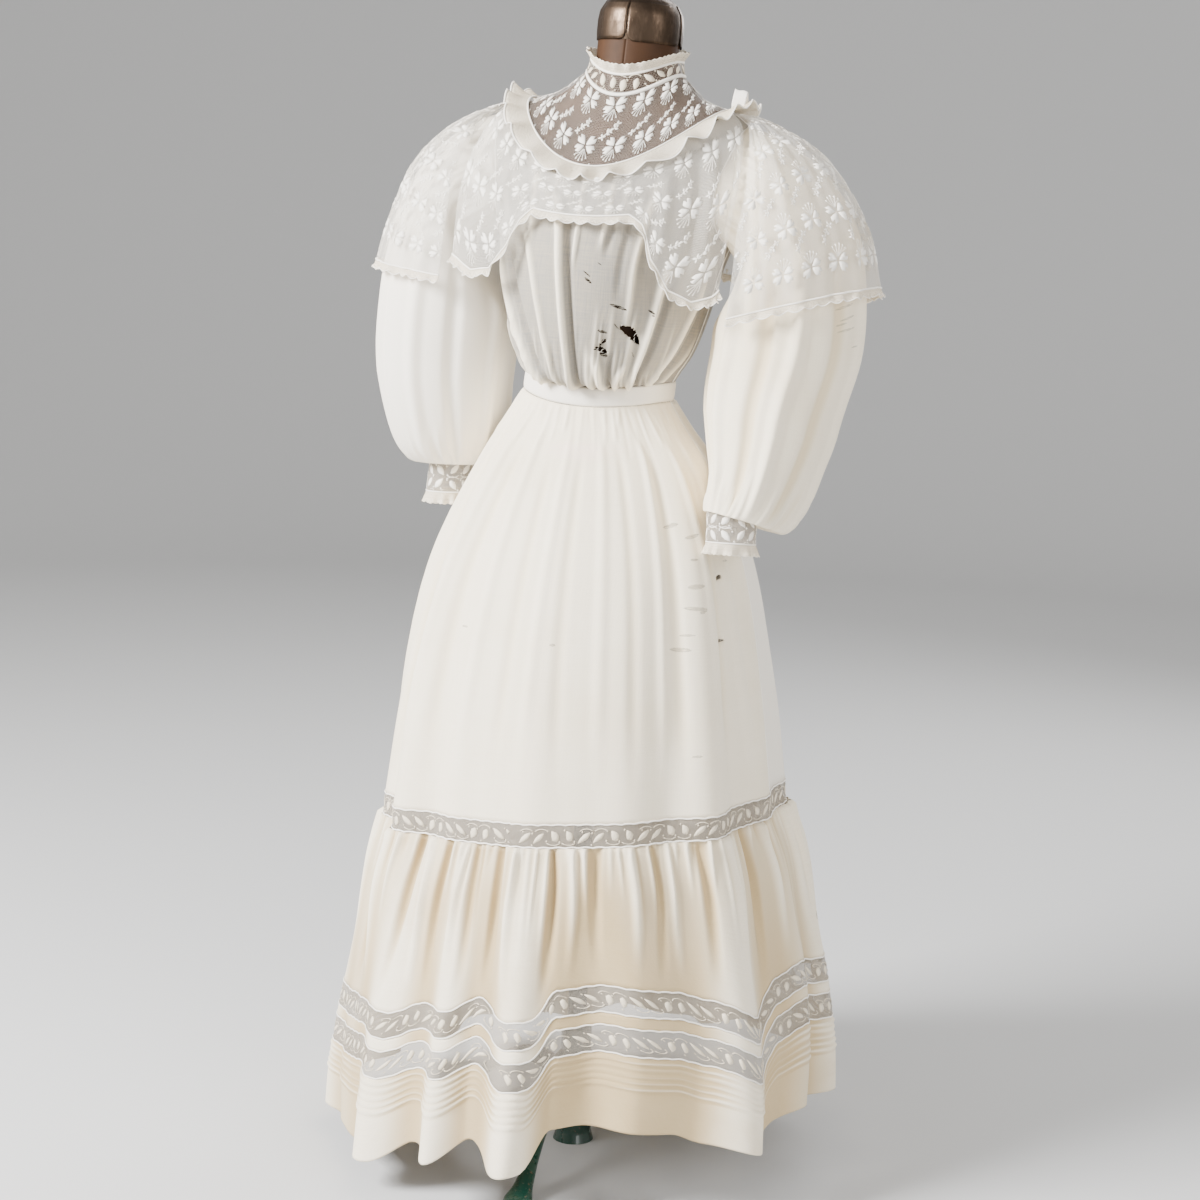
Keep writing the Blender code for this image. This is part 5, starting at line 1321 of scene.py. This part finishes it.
# Slashes too narrow to cut: place across and along the cloth, length and width in metres, slant in degrees.
BODICE_SLASHES = [
    (0.0269, 0.1578, 0.012, 0.0018, -35), (0.0290, 0.1500, 0.012, 0.0034, -35),
    (0.0692, 0.1207, 0.024, 0.0040, -14), (0.1163, 0.1178, 0.011, 0.0030, -15),
    (0.1190, 0.1140, 0.005, 0.0024, 0), (0.0559, 0.0884, 0.016, 0.0034, -12),
    (0.0720, 0.0960, 0.012, 0.0016, -42), (0.0640, 0.0590, 0.012, 0.0056, -20),
    (0.0505, 0.0665, 0.007, 0.0036, 25), (0.0427, 0.1714, 0.006, 0.0012, -30),
    (0.1060, 0.0600, 0.010, 0.0014, -50),
]
SKIRT_SLASHES = [
    (0.1640, 0.3850, 0.020, 0.0060, 12), (0.1950, 0.3700, 0.020, 0.0056, 10),
    (0.2030, 0.3390, 0.011, 0.0036, 0), (0.2120, 0.3030, 0.025, 0.0066, 2),
    (0.2140, 0.2740, 0.032, 0.0050, -4), (0.2265, 0.2705, 0.012, 0.0070, 20),
    (0.2080, 0.2390, 0.022, 0.0030, 0), (0.2010, 0.2200, 0.030, 0.0060, -4),
    (0.2339, 0.0797, 0.014, 0.0032, 0), (0.2754, 0.3319, 0.014, 0.0030, 0),
    (-0.1067, 0.2394, 0.012, 0.0030, 0), (0.0320, 0.2270, 0.008, 0.0036, 0),
    (0.2542, 0.3622, 0.018, 0.0060, 12), (0.2450, 0.3480, 0.016, 0.0040, 8),
]
SLEEVE_SLASHES = [
    (-0.2720, 0.2081, 0.030, 0.0024, 8), (-0.2777, 0.2181, 0.024, 0.0020, 10),
    (-0.2772, 0.2283, 0.030, 0.0022, 8), (-0.2683, 0.2232, 0.016, 0.0018, 8),
    (-0.2945, 0.2443, 0.012, 0.0016, 8),
]
FLOUNCE_SLASHES = [(-0.4529, 0.0579, 0.014, 0.0050, 65)]
Spot = namedtuple("Spot", "centre reach share color")
PINK_SPOT = Spot((0.0250, 0.4860, 0.0), (0.060, 0.020, 1.0), 0.45, (0.93, 0.74, 0.64))


THREADS_A_METRE = 9000.0    # the weave's turn in radians for each metre


def feed(tree, sockets, values):
    """Sets a node's inputs, and links each one whose value is another node's output."""
    for word, value in values.items():
        if isinstance(value, bpy.types.NodeSocket):
            tree.links.new(value, sockets[word])
        else:
            sockets[word].default_value = value


def put(tree, kind, inputs, **settings):
    """Adds a node, sets its properties and feeds its inputs."""
    made = tree.nodes.new(kind)
    for word, value in settings.items():
        setattr(made, word, value)
    feed(tree, made.inputs, inputs)
    return made


def calc(tree, operation, *values):
    """The output of a Math node."""
    return put(tree, "ShaderNodeMath", dict(enumerate(values)), operation=operation).outputs[0]


def vector_calc(tree, operation, *values):
    """The output of a Vector Math node."""
    return put(tree, "ShaderNodeVectorMath", dict(enumerate(values)), operation=operation).outputs[0]


def split(tree, vector):
    """The three parts of a vector by name."""
    return put(tree, "ShaderNodeSeparateXYZ", {0: vector}).outputs


def ramp(tree, value, start, end, low=0.0, high=1.0):
    """A value eased from low to high while it goes from start to end."""
    made = put(tree, "ShaderNodeMapRange", {"Value": value, "From Min": start, "From Max": end,
                                            "To Min": low, "To Max": high}, interpolation_type="SMOOTHSTEP")
    return made.outputs["Result"]


def blend_colors(tree, share, first, second):
    """One colour mixed into another by a share from 0 to 1."""
    first, second = (part if isinstance(part, bpy.types.NodeSocket) else (*part[:3], 1.0)
                     for part in (first, second))
    return put(tree, "ShaderNodeMix", {"Factor": share, 6: first, 7: second}, data_type="RGBA").outputs[2]


def stretched(tree, vector, x, y, z=1.0):
    """A vector with its parts scaled, so that a pattern on it is drawn out."""
    return vector_calc(tree, "MULTIPLY", vector, (x, y, z))


def noise(tree, vector, scale, detail=2.0, roughness=0.5):
    """Soft cloudy variation round a half."""
    return put(tree, "ShaderNodeTexNoise", {"Vector": vector, "Scale": scale, "Detail": detail,
                                            "Roughness": roughness}).outputs["Fac"]


def new_group(name, inputs, outputs):
    """An empty shader node group with named sockets, and its input and output nodes.

    An input is a vector where its value is three numbers or None, and otherwise a number.
    """
    tree = bpy.data.node_groups.new(name, "ShaderNodeTree")
    for word, value in inputs.items():
        kind = "NodeSocketFloat" if isinstance(value, float) else "NodeSocketVector"
        socket = tree.interface.new_socket(word, in_out="INPUT", socket_type=kind)
        if value is not None:
            socket.default_value = value
    for word in outputs:
        tree.interface.new_socket(word, in_out="OUTPUT", socket_type="NodeSocketFloat")
    return tree, tree.nodes.new("NodeGroupInput").outputs, tree.nodes.new("NodeGroupOutput").inputs


def build_groups():
    """The effects that several materials share: weave, stains, net, scallops, slashes and metal wear."""
    tree, given, result = new_group("Woven Thread", {"Along": None, "Slub": 1.0}, ("Shade", "Height"))
    warp = noise(tree, stretched(tree, given["Along"], 520, 22), 1.0, 3.0, 0.6)
    weft = noise(tree, stretched(tree, given["Along"], 26, 420), 1.0, 3.0, 0.6)
    cloud = noise(tree, given["Along"], 26.0, 3.0)
    slubs = calc(tree, "SUBTRACT", calc(tree, "ADD", warp, weft), 1.0)
    shade = calc(tree, "MULTIPLY_ADD", calc(tree, "MULTIPLY", slubs, given["Slub"]), 0.9, 0.5)
    shade = calc(tree, "MULTIPLY_ADD", calc(tree, "SUBTRACT", cloud, 0.5), 0.5, shade)
    parts = split(tree, given["Along"])
    over, under = (calc(tree, "SINE", calc(tree, "MULTIPLY", parts[word], THREADS_A_METRE))
                   for word in ("X", "Y"))
    weave = calc(tree, "MULTIPLY", over, under)
    feed(tree, result, {"Shade": put(tree, "ShaderNodeClamp", {"Value": shade}).outputs[0],
                        "Height": calc(tree, "MULTIPLY_ADD", weave, 0.12, shade)})

    tree, given, result = new_group("Soft Stains", {"Place": None, "Size": 6.0, "Cover": 0.5}, ("Mask",))
    cloud = noise(tree, given["Place"], given["Size"], 4.0, 0.6)
    start = calc(tree, "SUBTRACT", 0.85, calc(tree, "MULTIPLY", given["Cover"], 0.5))
    feed(tree, result, {"Mask": ramp(tree, cloud, start, calc(tree, "ADD", start, 0.25))})

    tree, given, result = new_group("Net Mesh", {"Along": None, "Mesh Size": 0.0015, "Thread": 0.16},
                                    ("Threads",))
    away = put(tree, "ShaderNodeTexVoronoi",
               {"Vector": given["Along"], "Scale": calc(tree, "DIVIDE", 1.0, given["Mesh Size"]),
                "Randomness": 0.35}, voronoi_dimensions="2D", feature="DISTANCE_TO_EDGE").outputs["Distance"]
    fine = calc(tree, "MULTIPLY", given["Thread"], 0.55)
    feed(tree, result, {"Threads": ramp(tree, away, fine, given["Thread"], 1.0, 0.0)})

    tree, given, result = new_group("Scalloped Edge", {"Along": None, "Scallop": 0.0075, "Depth": 0.0030},
                                    ("Cord", "Eyelets"))
    parts = split(tree, given["Along"])
    turn = calc(tree, "DIVIDE", calc(tree, "MULTIPLY", parts["X"], pi), given["Scallop"])
    arch = calc(tree, "MULTIPLY", calc(tree, "ABSOLUTE", calc(tree, "SINE", turn)), given["Depth"])
    away = calc(tree, "ABSOLUTE", calc(tree, "SUBTRACT", parts["Y"], calc(tree, "SUBTRACT", 0.0052, arch)))
    cord, rim = ramp(tree, away, 0.0004, 0.0008, 1.0, 0.0), ramp(tree, parts["Y"], 0.0008, 0.0014, 1.0, 0.0)
    beats = [calc(tree, "ABSOLUTE", calc(tree, "SINE", calc(tree, "MULTIPLY", value, often)))
             for value, often in ((turn, 2.0), (parts["Y"], 900.0))]
    feed(tree, result, {"Cord": calc(tree, "MAXIMUM", cord, rim),
                        "Eyelets": ramp(tree, calc(tree, "MULTIPLY", *beats), 0.30, 0.55, 1.0, 0.0)})

    tree, given, result = new_group(
        "Slash", {"Along": None, "Centre": (0, 0, 0), "Length": 0.02, "Width": 0.002, "Slant": 0.0}, ("Hole",))
    moved = vector_calc(tree, "SUBTRACT", given["Along"], given["Centre"])
    spun = put(tree, "ShaderNodeVectorRotate", {"Vector": moved, "Angle": given["Slant"]},
               rotation_type="Z_AXIS").outputs[0]
    parts = split(tree, spun)
    lengthways, crossways = (calc(tree, "DIVIDE", parts[part], calc(tree, "MULTIPLY", given[size], 0.5))
                             for part, size in (("X", "Length"), ("Y", "Width")))
    frayed = calc(tree, "SUBTRACT", noise(tree, stretched(tree, given["Along"], 1400, 300), 1.0), 0.5)
    crossways = calc(tree, "ADD", crossways, frayed)
    inside = calc(tree, "ADD", *(calc(tree, "MULTIPLY", part, part) for part in (lengthways, crossways)))
    threads = noise(tree, stretched(tree, given["Along"], 90, 1900), 1.0)
    feed(tree, result, {"Hole": calc(tree, "MULTIPLY", ramp(tree, inside, 0.8, 1.1, 1.0, 0.0),
                                     ramp(tree, threads, 0.56, 0.62, 1.0, 0.0))})

    tree, given, result = new_group(
        "Soft Spot", {"Along": None, "Centre": (0, 0, 0), "Reach": (0.05, 0.02, 1.0)}, ("Mask",))
    moved = vector_calc(tree, "DIVIDE", vector_calc(tree, "SUBTRACT", given["Along"], given["Centre"]),
                        given["Reach"])
    away = put(tree, "ShaderNodeVectorMath", {0: moved}, operation="LENGTH").outputs["Value"]
    away = calc(tree, "ADD", away, calc(tree, "SUBTRACT", noise(tree, given["Along"], 40.0), 0.5))
    feed(tree, result, {"Mask": ramp(tree, away, 0.2, 1.1, 1.0, 0.0)})

    tree, given, result = new_group("Worn Metal", {"Place": None, "Size": 40.0}, ("Smudge", "Pits"))
    smudge = noise(tree, stretched(tree, given["Place"], 1, 1, 0.4), given["Size"], 5.0, 0.65)
    pits = noise(tree, given["Place"], calc(tree, "MULTIPLY", given["Size"], 9.0), 2.0)
    feed(tree, result, {"Smudge": ramp(tree, smudge, 0.38, 0.66), "Pits": ramp(tree, pits, 0.62, 0.74)})


def group(tree, name, inputs):
    """A shared effect by its name, fed with inputs."""
    return put(tree, "ShaderNodeGroup", inputs, node_tree=bpy.data.node_groups[name]).outputs


def stains(tree, place, size, cover):
    """Where cloth has yellowed, from 0 to 1."""
    return group(tree, "Soft Stains", {"Place": place, "Size": size, "Cover": cover})["Mask"]


def new_material(name, roughness, metallic=0.0):
    """An empty Principled material: its tree, its shader and the two coordinates that patterns follow."""
    made = bpy.data.materials.new(name)
    made.use_nodes = True
    tree = made.node_tree
    inputs = tree.nodes["Principled BSDF"].inputs
    feed(tree, inputs, {"Roughness": roughness, "Metallic": metallic})
    places = tree.nodes.new("ShaderNodeTexCoord").outputs
    return tree, inputs, places["UV"], places["Object"]


def toned(color, share):
    """A colour made darker and warmer, as cotton goes where it has yellowed; also the painted shade in the
    troughs of the voile's folds.
    """
    return (color[0] * share, color[1] * share**1.35, color[2] * share**2.1, 1.0)


def bump(tree, height, distance, strength):
    """A bent normal from a height."""
    return put(tree, "ShaderNodeBump", {"Height": height, "Distance": distance,
                                        "Strength": strength}).outputs["Normal"]


def voile_material(name, thin, color, slashes=(), open_share=1.0, spot=None, tone=(0.05, 0.62), slub=1.0):
    """Thin cotton: slubs both ways, painted lighter on ridges than in troughs, yellowed, and split in slashes.

    tone is the fold values between which the cloth goes from its thin colour to its full one: painted
    shade in the troughs and painted light on the ridges, and on the bodice also its single and doubled
    cloth over the dark form. open_share is how far the slashes are see-through.
    """
    tree, inputs, along, place = new_material(name, 0.85)
    woven = group(tree, "Woven Thread", {"Along": along, "Slub": slub})
    fold = put(tree, "ShaderNodeAttribute", {}, attribute_name="fold").outputs["Fac"]
    # Painted shade and light: the thin colour in the troughs, the full colour on the ridges.
    tint = blend_colors(tree, ramp(tree, fold, *tone), thin, color)
    slubbed = blend_colors(tree, 0.5, tint, toned(color, 0.70))
    tint = blend_colors(tree, calc(tree, "MULTIPLY_ADD", woven["Shade"], 0.5, 0.5), slubbed, tint)
    stained = calc(tree, "MULTIPLY", stains(tree, place, 5.0, 0.75), 0.30)
    tint = blend_colors(tree, stained, tint, toned(thin, 0.90))
    if spot:
        mask = group(tree, "Soft Spot", {"Along": along, "Centre": spot.centre, "Reach": spot.reach})["Mask"]
        tint = blend_colors(tree, calc(tree, "MULTIPLY", mask, spot.share), tint, spot.color)
    feed(tree, inputs, {"Base Color": tint, "Normal": bump(tree, woven["Height"], 0.0006, 0.35),
                        "Sheen Weight": 0.15})
    hole = None
    for across, up, length, width, slant in slashes:
        torn = group(tree, "Slash", {"Along": along, "Centre": (across, up, 0.0), "Length": length,
                                     "Width": width, "Slant": radians(-slant)})["Hole"]
        hole = torn if hole is None else calc(tree, "MAXIMUM", hole, torn)
    if hole is not None:
        feed(tree, inputs, {"Alpha": calc(tree, "MULTIPLY_ADD", hole, -open_share, 1.0)})


def net_material(name, color, mesh, thread):
    """See-through cotton net."""
    tree, inputs, along, place = new_material(name, 0.9)
    net = group(tree, "Net Mesh", {"Along": along, "Mesh Size": mesh, "Thread": thread})["Threads"]
    tint = blend_colors(tree, stains(tree, place, 7.0, 0.6), color, toned(color, 0.86))
    feed(tree, inputs, {"Base Color": tint, "Alpha": net, "Normal": bump(tree, net, 0.0003, 0.4)})


def edging_material(name, color):
    """Lace edging: a corded scallop at the free edge, eyelets behind it, then net."""
    tree, inputs, along, place = new_material(name, 0.9)
    net = group(tree, "Net Mesh", {"Along": along, "Mesh Size": 0.0014, "Thread": 0.26})["Threads"]
    edge = group(tree, "Scalloped Edge", {"Along": along, "Scallop": 0.0075, "Depth": 0.0030})
    solid = calc(tree, "MAXIMUM", edge["Cord"], calc(tree, "MULTIPLY", edge["Eyelets"], 0.62))
    solid = calc(tree, "MAXIMUM", solid, net)
    tint = blend_colors(tree, calc(tree, "MAXIMUM", edge["Cord"], net), toned(color, 0.70), color)
    stained = calc(tree, "MULTIPLY", stains(tree, place, 9.0, 0.7), 0.6)
    tint = blend_colors(tree, stained, tint, toned(color, 0.86))
    feed(tree, inputs, {"Base Color": tint, "Alpha": solid, "Normal": bump(tree, solid, 0.0006, 0.5)})


def thread_material(name, color):
    """Satin-stitched cotton thread, for flowers, leaves, seams and frayed ends."""
    tree, inputs, _, place = new_material(name, 0.7)
    strands = noise(tree, stretched(tree, place, 1500, 1500, 1500), 1.0, 2.0)
    feed(tree, inputs, {"Base Color": blend_colors(tree, strands, toned(color, 0.93), color),
                        "Normal": bump(tree, strands, 0.0004, 0.4), "Sheen Weight": 0.2})


def build_stand_materials(colors):
    """The form's brown cloth, the cap's aged metal and the foot's chipped gloss paint."""
    tree, inputs, _, place = new_material("form_cloth", 0.62)
    tint = blend_colors(tree, stains(tree, place, 11.0, 0.8), colors.form,
                        [part * 1.7 for part in colors.form])
    feed(tree, inputs, {"Base Color": tint, "Specular IOR Level": 0.15,
                        "Normal": bump(tree, noise(tree, place, 900.0, 2.0), 0.0004, 0.35)})

    tree, inputs, _, place = new_material("cap_metal", 0.34, 1.0)
    worn = group(tree, "Worn Metal", {"Place": place, "Size": 34.0})
    tint = blend_colors(tree, worn["Smudge"], [part * 0.42 for part in colors.cap], colors.cap)
    feed(tree, inputs, {"Base Color": tint, "Roughness": ramp(tree, worn["Smudge"], 0.0, 1.0, 0.55, 0.30),
                        "Normal": bump(tree, worn["Pits"], 0.0004, 0.3)})

    tree, inputs, _, place = new_material("foot_paint", 0.25)
    worn = group(tree, "Worn Metal", {"Place": place, "Size": 22.0})
    tint = blend_colors(tree, worn["Pits"], colors.foot, (0.10, 0.07, 0.05))
    feed(tree, inputs, {"Base Color": tint, "Roughness": ramp(tree, worn["Smudge"], 0.0, 1.0, 0.22, 0.40),
                        "Normal": bump(tree, noise(tree, place, 130.0, 3.0), 0.0008, 0.35),
                        "Coat Weight": 0.4})


def build_materials(colors):
    """Every material of the dress and its stand."""
    build_groups()
    voile, bodice, thread = colors.voile, colors.bodice, colors.thread
    # Painted shade and light by fold value: deep in the flounce and hem; on the bodice from the cloth lying
    # single over the form in troughs to doubled cloth on ridges, partly real and partly painted light.
    shaded = {"tone": (0.08, 0.92), "slub": 1.6}
    single = {"tone": (0.42, 1.0), "slub": 2.2}
    # The first colour of each voile is the painted shade of its troughs, but the bodice's is its cloth lying
    # single over the dark form.
    voile_material("voile", toned(voile, 0.80), voile)
    voile_material("bodice_front_voile", bodice, voile, BODICE_SLASHES, **single)
    voile_material("bodice_back_voile", bodice, voile, **single)
    voile_material("skirt_voile", toned(voile, 0.88), voile, SKIRT_SLASHES, 0.55, PINK_SPOT)
    voile_material("sleeve_voile", toned(voile, 0.80), voile, SLEEVE_SLASHES, 0.4)
    voile_material("flounce_voile", toned(voile, 0.56), voile, FLOUNCE_SLASHES, 0.6, **shaded)
    voile_material("hem_voile", toned(voile, 0.56), voile, **shaded)
    voile_material("ribbon", thread, thread)
    net_material("yoke_net", colors.yoke, 0.0021, 0.045)
    net_material("net", colors.net, 0.0015, 0.082)
    net_material("band_net", colors.band, 0.0014, 0.14)
    edging_material("edging", colors.edging)
    thread_material("embroidery", thread)
    thread_material("band_thread", toned(thread, 0.80))
    build_stand_materials(colors)


FLOOR_REACH, FLOOR_CURVE, WALL_TOP, FLOOR_SIDES = 6.0, 3.0, 5.0, 72
LAMP_AIM = np.array([0.0, 0.0, 0.85])
Lamp = namedtuple("Lamp", "name place size power")


def looking(place, ahead, upward):
    """The matrix of a camera or a lamp at a place, facing ahead with upward roughly up."""
    back = -ahead / np.linalg.norm(ahead)
    right = np.cross(upward, back)
    right /= np.linalg.norm(right)
    turned = np.eye(4)
    turned[:3] = np.stack([right, np.cross(back, right), back, place], axis=1)
    return Matrix(turned.tolist())


def build_studio(settings):
    """A pale round floor that curves up far from the dress, three soft lamps and the air's light."""
    bend = np.linspace(0, QUARTER, 13)[1:]
    reach = np.concatenate([[2.0, 4.0, FLOOR_REACH], FLOOR_REACH + FLOOR_CURVE * np.sin(bend),
                            [FLOOR_REACH + FLOOR_CURVE]])[:, None]
    level = np.concatenate([[0.0] * 3, FLOOR_CURVE - FLOOR_CURVE * np.cos(bend), [WALL_TOP]])[:, None]
    rings = rings_at(reach, level, FLOOR_SIDES)
    here = np.arange(FLOOR_SIDES)
    middle = [(here + 1) % FLOOR_SIDES, here, np.full(FLOOR_SIDES, rings.size // 3)]
    faces = grid_faces(len(rings), FLOOR_SIDES, True).reshape(-1, 4)[:, ::-1].tolist()
    faces += np.stack(middle, axis=-1)[:, ::-1].tolist()
    tree, inputs, _, _ = new_material("pale_paper", 0.9)
    feed(tree, inputs, {"Base Color": (*settings.floor, 1.0)})
    vertices = np.concatenate([rings.reshape(-1, 3), [[0.0, 0.0, 0.0]]])
    mesh_object("pale_floor", vertices, faces, "pale_paper")
    world = bpy.data.worlds.new("studio_air")
    bpy.context.scene.world = world
    world.use_nodes = True
    air = world.node_tree.nodes["Background"].inputs
    feed(world.node_tree, air, {"Color": (1.0, 0.985, 0.96, 1), "Strength": settings.air})
    for lamp in (Lamp("key_lamp", (-2.3, -2.5, 2.7), 1.5, settings.key),
                 Lamp("fill_lamp", (2.9, -2.0, 1.7), 2.2, settings.fill),
                 Lamp("back_lamp", (0.8, 3.0, 2.6), 2.2, settings.rim)):
        light = bpy.data.lights.new(lamp.name, "AREA")
        light.size, light.energy = lamp.size, lamp.power
        made = bpy.data.objects.new(lamp.name, light)
        made.matrix_world = looking(np.array(lamp.place), LAMP_AIM - lamp.place, UP)
        made.visible_camera = False
        bpy.context.scene.collection.objects.link(made)


def build_camera(settings):
    """The camera at the photograph's angle: round to the wearer's left, looking a little down."""
    lens = bpy.data.cameras.new("camera")
    lens.lens, lens.sensor_width, lens.clip_end = settings.lens, 36.0, 100.0
    made = bpy.data.objects.new("camera", lens)
    bpy.context.scene.collection.objects.link(made)
    bpy.context.scene.camera = made
    side, pitch = settings.camera_side, settings.camera_pitch
    yaw, roll = settings.camera_yaw, settings.camera_roll
    right = np.array([cos(side), sin(side), 0.0])
    flat = np.array([-sin(side), cos(side), 0.0])
    right, flat = right * cos(yaw) - flat * sin(yaw), flat * cos(yaw) + right * sin(yaw)
    ahead = flat * cos(pitch) - UP * sin(pitch)
    upward = np.cross(right, ahead)
    upward = upward * cos(roll) - right * sin(roll)
    away = settings.camera_away
    place = np.array([away * sin(side), -away * cos(side), settings.camera_height])
    made.matrix_world = looking(place, ahead, upward)


def color_of(name, description, *default):
    """A colour setting."""
    return bpy.props.FloatVectorProperty(name=name, description=description, subtype="COLOR", size=3, min=0,
                                         max=1, default=default)


def length_of(name, description, default, least, most):
    """A setting in metres."""
    return bpy.props.FloatProperty(name=name, description=description, default=default, min=least, max=most,
                                   precision=4, unit="LENGTH", subtype="DISTANCE")


def angle_of(name, description, degrees):
    """A setting that is an angle."""
    return bpy.props.FloatProperty(name=name, description=description, default=radians(degrees),
                                   unit="ROTATION", subtype="ANGLE")


def power_of(name, description, default):
    """A lamp's power in watts."""
    return bpy.props.FloatProperty(name=name, description=description, default=default, min=0, unit="POWER")


class DressColors(bpy.types.PropertyGroup):
    """Colours of the cloth, the lace and the stand."""
    voile: color_of("Voile", "Cotton of the sleeves and skirt", 0.95, 0.86, 0.69)
    bodice: color_of("Bodice Voile", "Cotton of the bodice where it lies single over the form",
                     0.25, 0.235, 0.21)
    yoke: color_of("Yoke Net", "Net of the yoke and collar over the brown form", 0.55, 0.46, 0.39)
    net: color_of("Cape Net", "Net of the cape collar", 0.95, 0.90, 0.82)
    band: color_of("Band Net", "Net of the lace bands and cuffs", 0.52, 0.46, 0.385)
    edging: color_of("Edging", "Lace frills", 0.90, 0.81, 0.66)
    thread: color_of("Embroidery", "Flowers, leaves, seams, ribbon and loose threads", 0.96, 0.92, 0.85)
    form: color_of("Form Cover", "Brown cloth of the form and its neck", 0.037, 0.0165, 0.007)
    cap: color_of("Cap Metal", "Aged plates of the neck cap", 0.105, 0.072, 0.050)
    foot: color_of("Foot Paint", "Dark green gloss of the pole and foot", 0.008, 0.040, 0.026)


class DressSizes(bpy.types.PropertyGroup):
    """Sizes of the cloth, the embroidery and the hem's tucks."""
    cloth: length_of("Voile Thickness", "Thickness of the voile's wall", 0.0006, 0.0002, 0.0012)
    net: length_of("Net Thickness", "Thickness of the net's wall", 0.0004, 0.0002, 0.0010)
    flower_step: length_of("Flower Step", "From one flower to the next along a row", 0.0395, 0.03, 0.08)
    flower_rise: length_of("Flower Rise", "From one row of flowers to the next", 0.0580, 0.04, 0.12)
    tucks: bpy.props.IntProperty(name="Hem Tucks", description="Tucks above the deep hem", default=5, min=0,
                                 max=6)
    tuck_depth: length_of("Tuck Depth", "How far each tuck stands proud", 0.0024, 0.0, 0.004)


class StudioSettings(bpy.types.PropertyGroup):
    """Lamps, floor and camera."""
    floor: color_of("Floor", "Colour of the pale floor", 0.56, 0.56, 0.56)
    air: bpy.props.FloatProperty(name="Air", description="Strength of the light from all round", default=0.6,
                                 min=0)
    key: power_of("Key Lamp", "Lamp at the viewer's upper left", 640)
    fill: power_of("Fill Lamp", "Lamp at the viewer's right", 90)
    rim: power_of("Back Lamp", "Lamp behind the dress", 80)
    lens: bpy.props.FloatProperty(name="Lens", description="Focal length in millimetres", default=67.68,
                                  min=20, max=200)
    camera_away: length_of("Camera Distance", "From the pole to the camera", 3.0, 1.0, 10.0)
    camera_height: length_of("Camera Height", "Above the floor", 1.2, 0.0, 5.0)
    camera_side: angle_of("Camera Side", "Turn toward the wearer's left", 21)
    camera_pitch: angle_of("Camera Pitch", "Tilt below the horizon", 8.4)
    camera_yaw: angle_of("Camera Yaw", "Turn of the view toward the right", 0.22)
    camera_roll: angle_of("Camera Roll", "Tilt of the frame", 2.0)


def done(settings, *builders):
    """Runs builders with their settings, and says that the step is finished."""
    for build in builders:
        build(settings)
    return {"FINISHED"}


class MakeFinishes(bpy.types.Operator):
    """Makes the cloth, lace, metal and paint materials."""
    bl_idname = "lace_dress.make_finishes"
    bl_label = "Finishes"

    def execute(self, context):
        return done(context.scene.dress_colors, build_materials)


class MakeForm(bpy.types.Operator):
    """Builds the covered form with its neck cap, pole, hub and legs."""
    bl_idname = "lace_dress.make_form"
    bl_label = "Form and Stand"

    def execute(self, context):
        return done(context.scene.dress_sizes, build_form, build_stand)


class MakeBodice(bpy.types.Operator):
    """Builds the bodice with its gathers and torn places."""
    bl_idname = "lace_dress.make_bodice"
    bl_label = "Bodice"

    def execute(self, context):
        return done(context.scene.dress_sizes, build_bodice)


class MakeYoke(bpy.types.Operator):
    """Builds the flowered net yoke, the collar, the frill round the neckline and the ribbon loop."""
    bl_idname = "lace_dress.make_yoke"
    bl_label = "Yoke and Collar"

    def execute(self, context):
        return done(context.scene.dress_sizes,
                    build_yoke, build_collar, build_neck_ruffle, build_shoulder_loop)


class MakeSleeves(bpy.types.Operator):
    """Builds both sleeves with their lace cuffs."""
    bl_idname = "lace_dress.make_sleeves"
    bl_label = "Sleeves and Cuffs"

    def execute(self, context):
        return done(context.scene.dress_sizes, build_sleeves)


class MakeCape(bpy.types.Operator):
    """Builds the four parts of the flowered cape collar."""
    bl_idname = "lace_dress.make_cape"
    bl_label = "Cape Collar"

    def execute(self, context):
        return done(context.scene.dress_sizes, build_cape)


class MakeSkirt(bpy.types.Operator):
    """Builds the waistband, the upper skirt, the flounce, the lace bands and the tucked hem."""
    bl_idname = "lace_dress.make_skirt"
    bl_label = "Skirt"

    def execute(self, context):
        return done(context.scene.dress_sizes, build_waistband, build_skirt, build_flounce, build_hem)


class MakeStage(bpy.types.Operator):
    """Sets up the pale floor, the soft lamps and the camera."""
    bl_idname = "lace_dress.make_stage"
    bl_label = "Stage"

    def execute(self, context):
        return done(context.scene.studio, build_studio, build_camera)


STEPS = (MakeFinishes, MakeForm, MakeBodice, MakeYoke, MakeSleeves, MakeCape, MakeSkirt, MakeStage)


class DressPanel(bpy.types.Panel):
    """Lists the dress's settings and the steps that build it."""
    bl_idname = "VIEW3D_PT_lace_dress"
    bl_label = "Lace Dress"
    bl_space_type = "VIEW_3D"
    bl_region_type = "UI"
    bl_category = "Dress"

    def draw(self, context):
        for group_name in GROUPS:
            settings, box = getattr(context.scene, group_name), self.layout.box()
            for word in settings.bl_rna.properties.keys():
                if word not in ("rna_type", "name"):
                    box.prop(settings, word)
        for step in STEPS:
            self.layout.operator(step.bl_idname)


GROUPS = {"dress_colors": DressColors, "dress_sizes": DressSizes, "studio": StudioSettings}


def register():
    for item in (*GROUPS.values(), *STEPS, DressPanel):
        bpy.utils.register_class(item)
    for word, group_class in GROUPS.items():
        setattr(bpy.types.Scene, word, bpy.props.PointerProperty(type=group_class))


def unregister():
    for word in GROUPS:
        delattr(bpy.types.Scene, word)
    for item in (DressPanel, *reversed(STEPS), *GROUPS.values()):
        bpy.utils.unregister_class(item)


def main():
    register()
    for step in STEPS:
        getattr(bpy.ops.lace_dress, step.bl_idname.split(".")[1])()


if __name__ == "__main__":
    main()
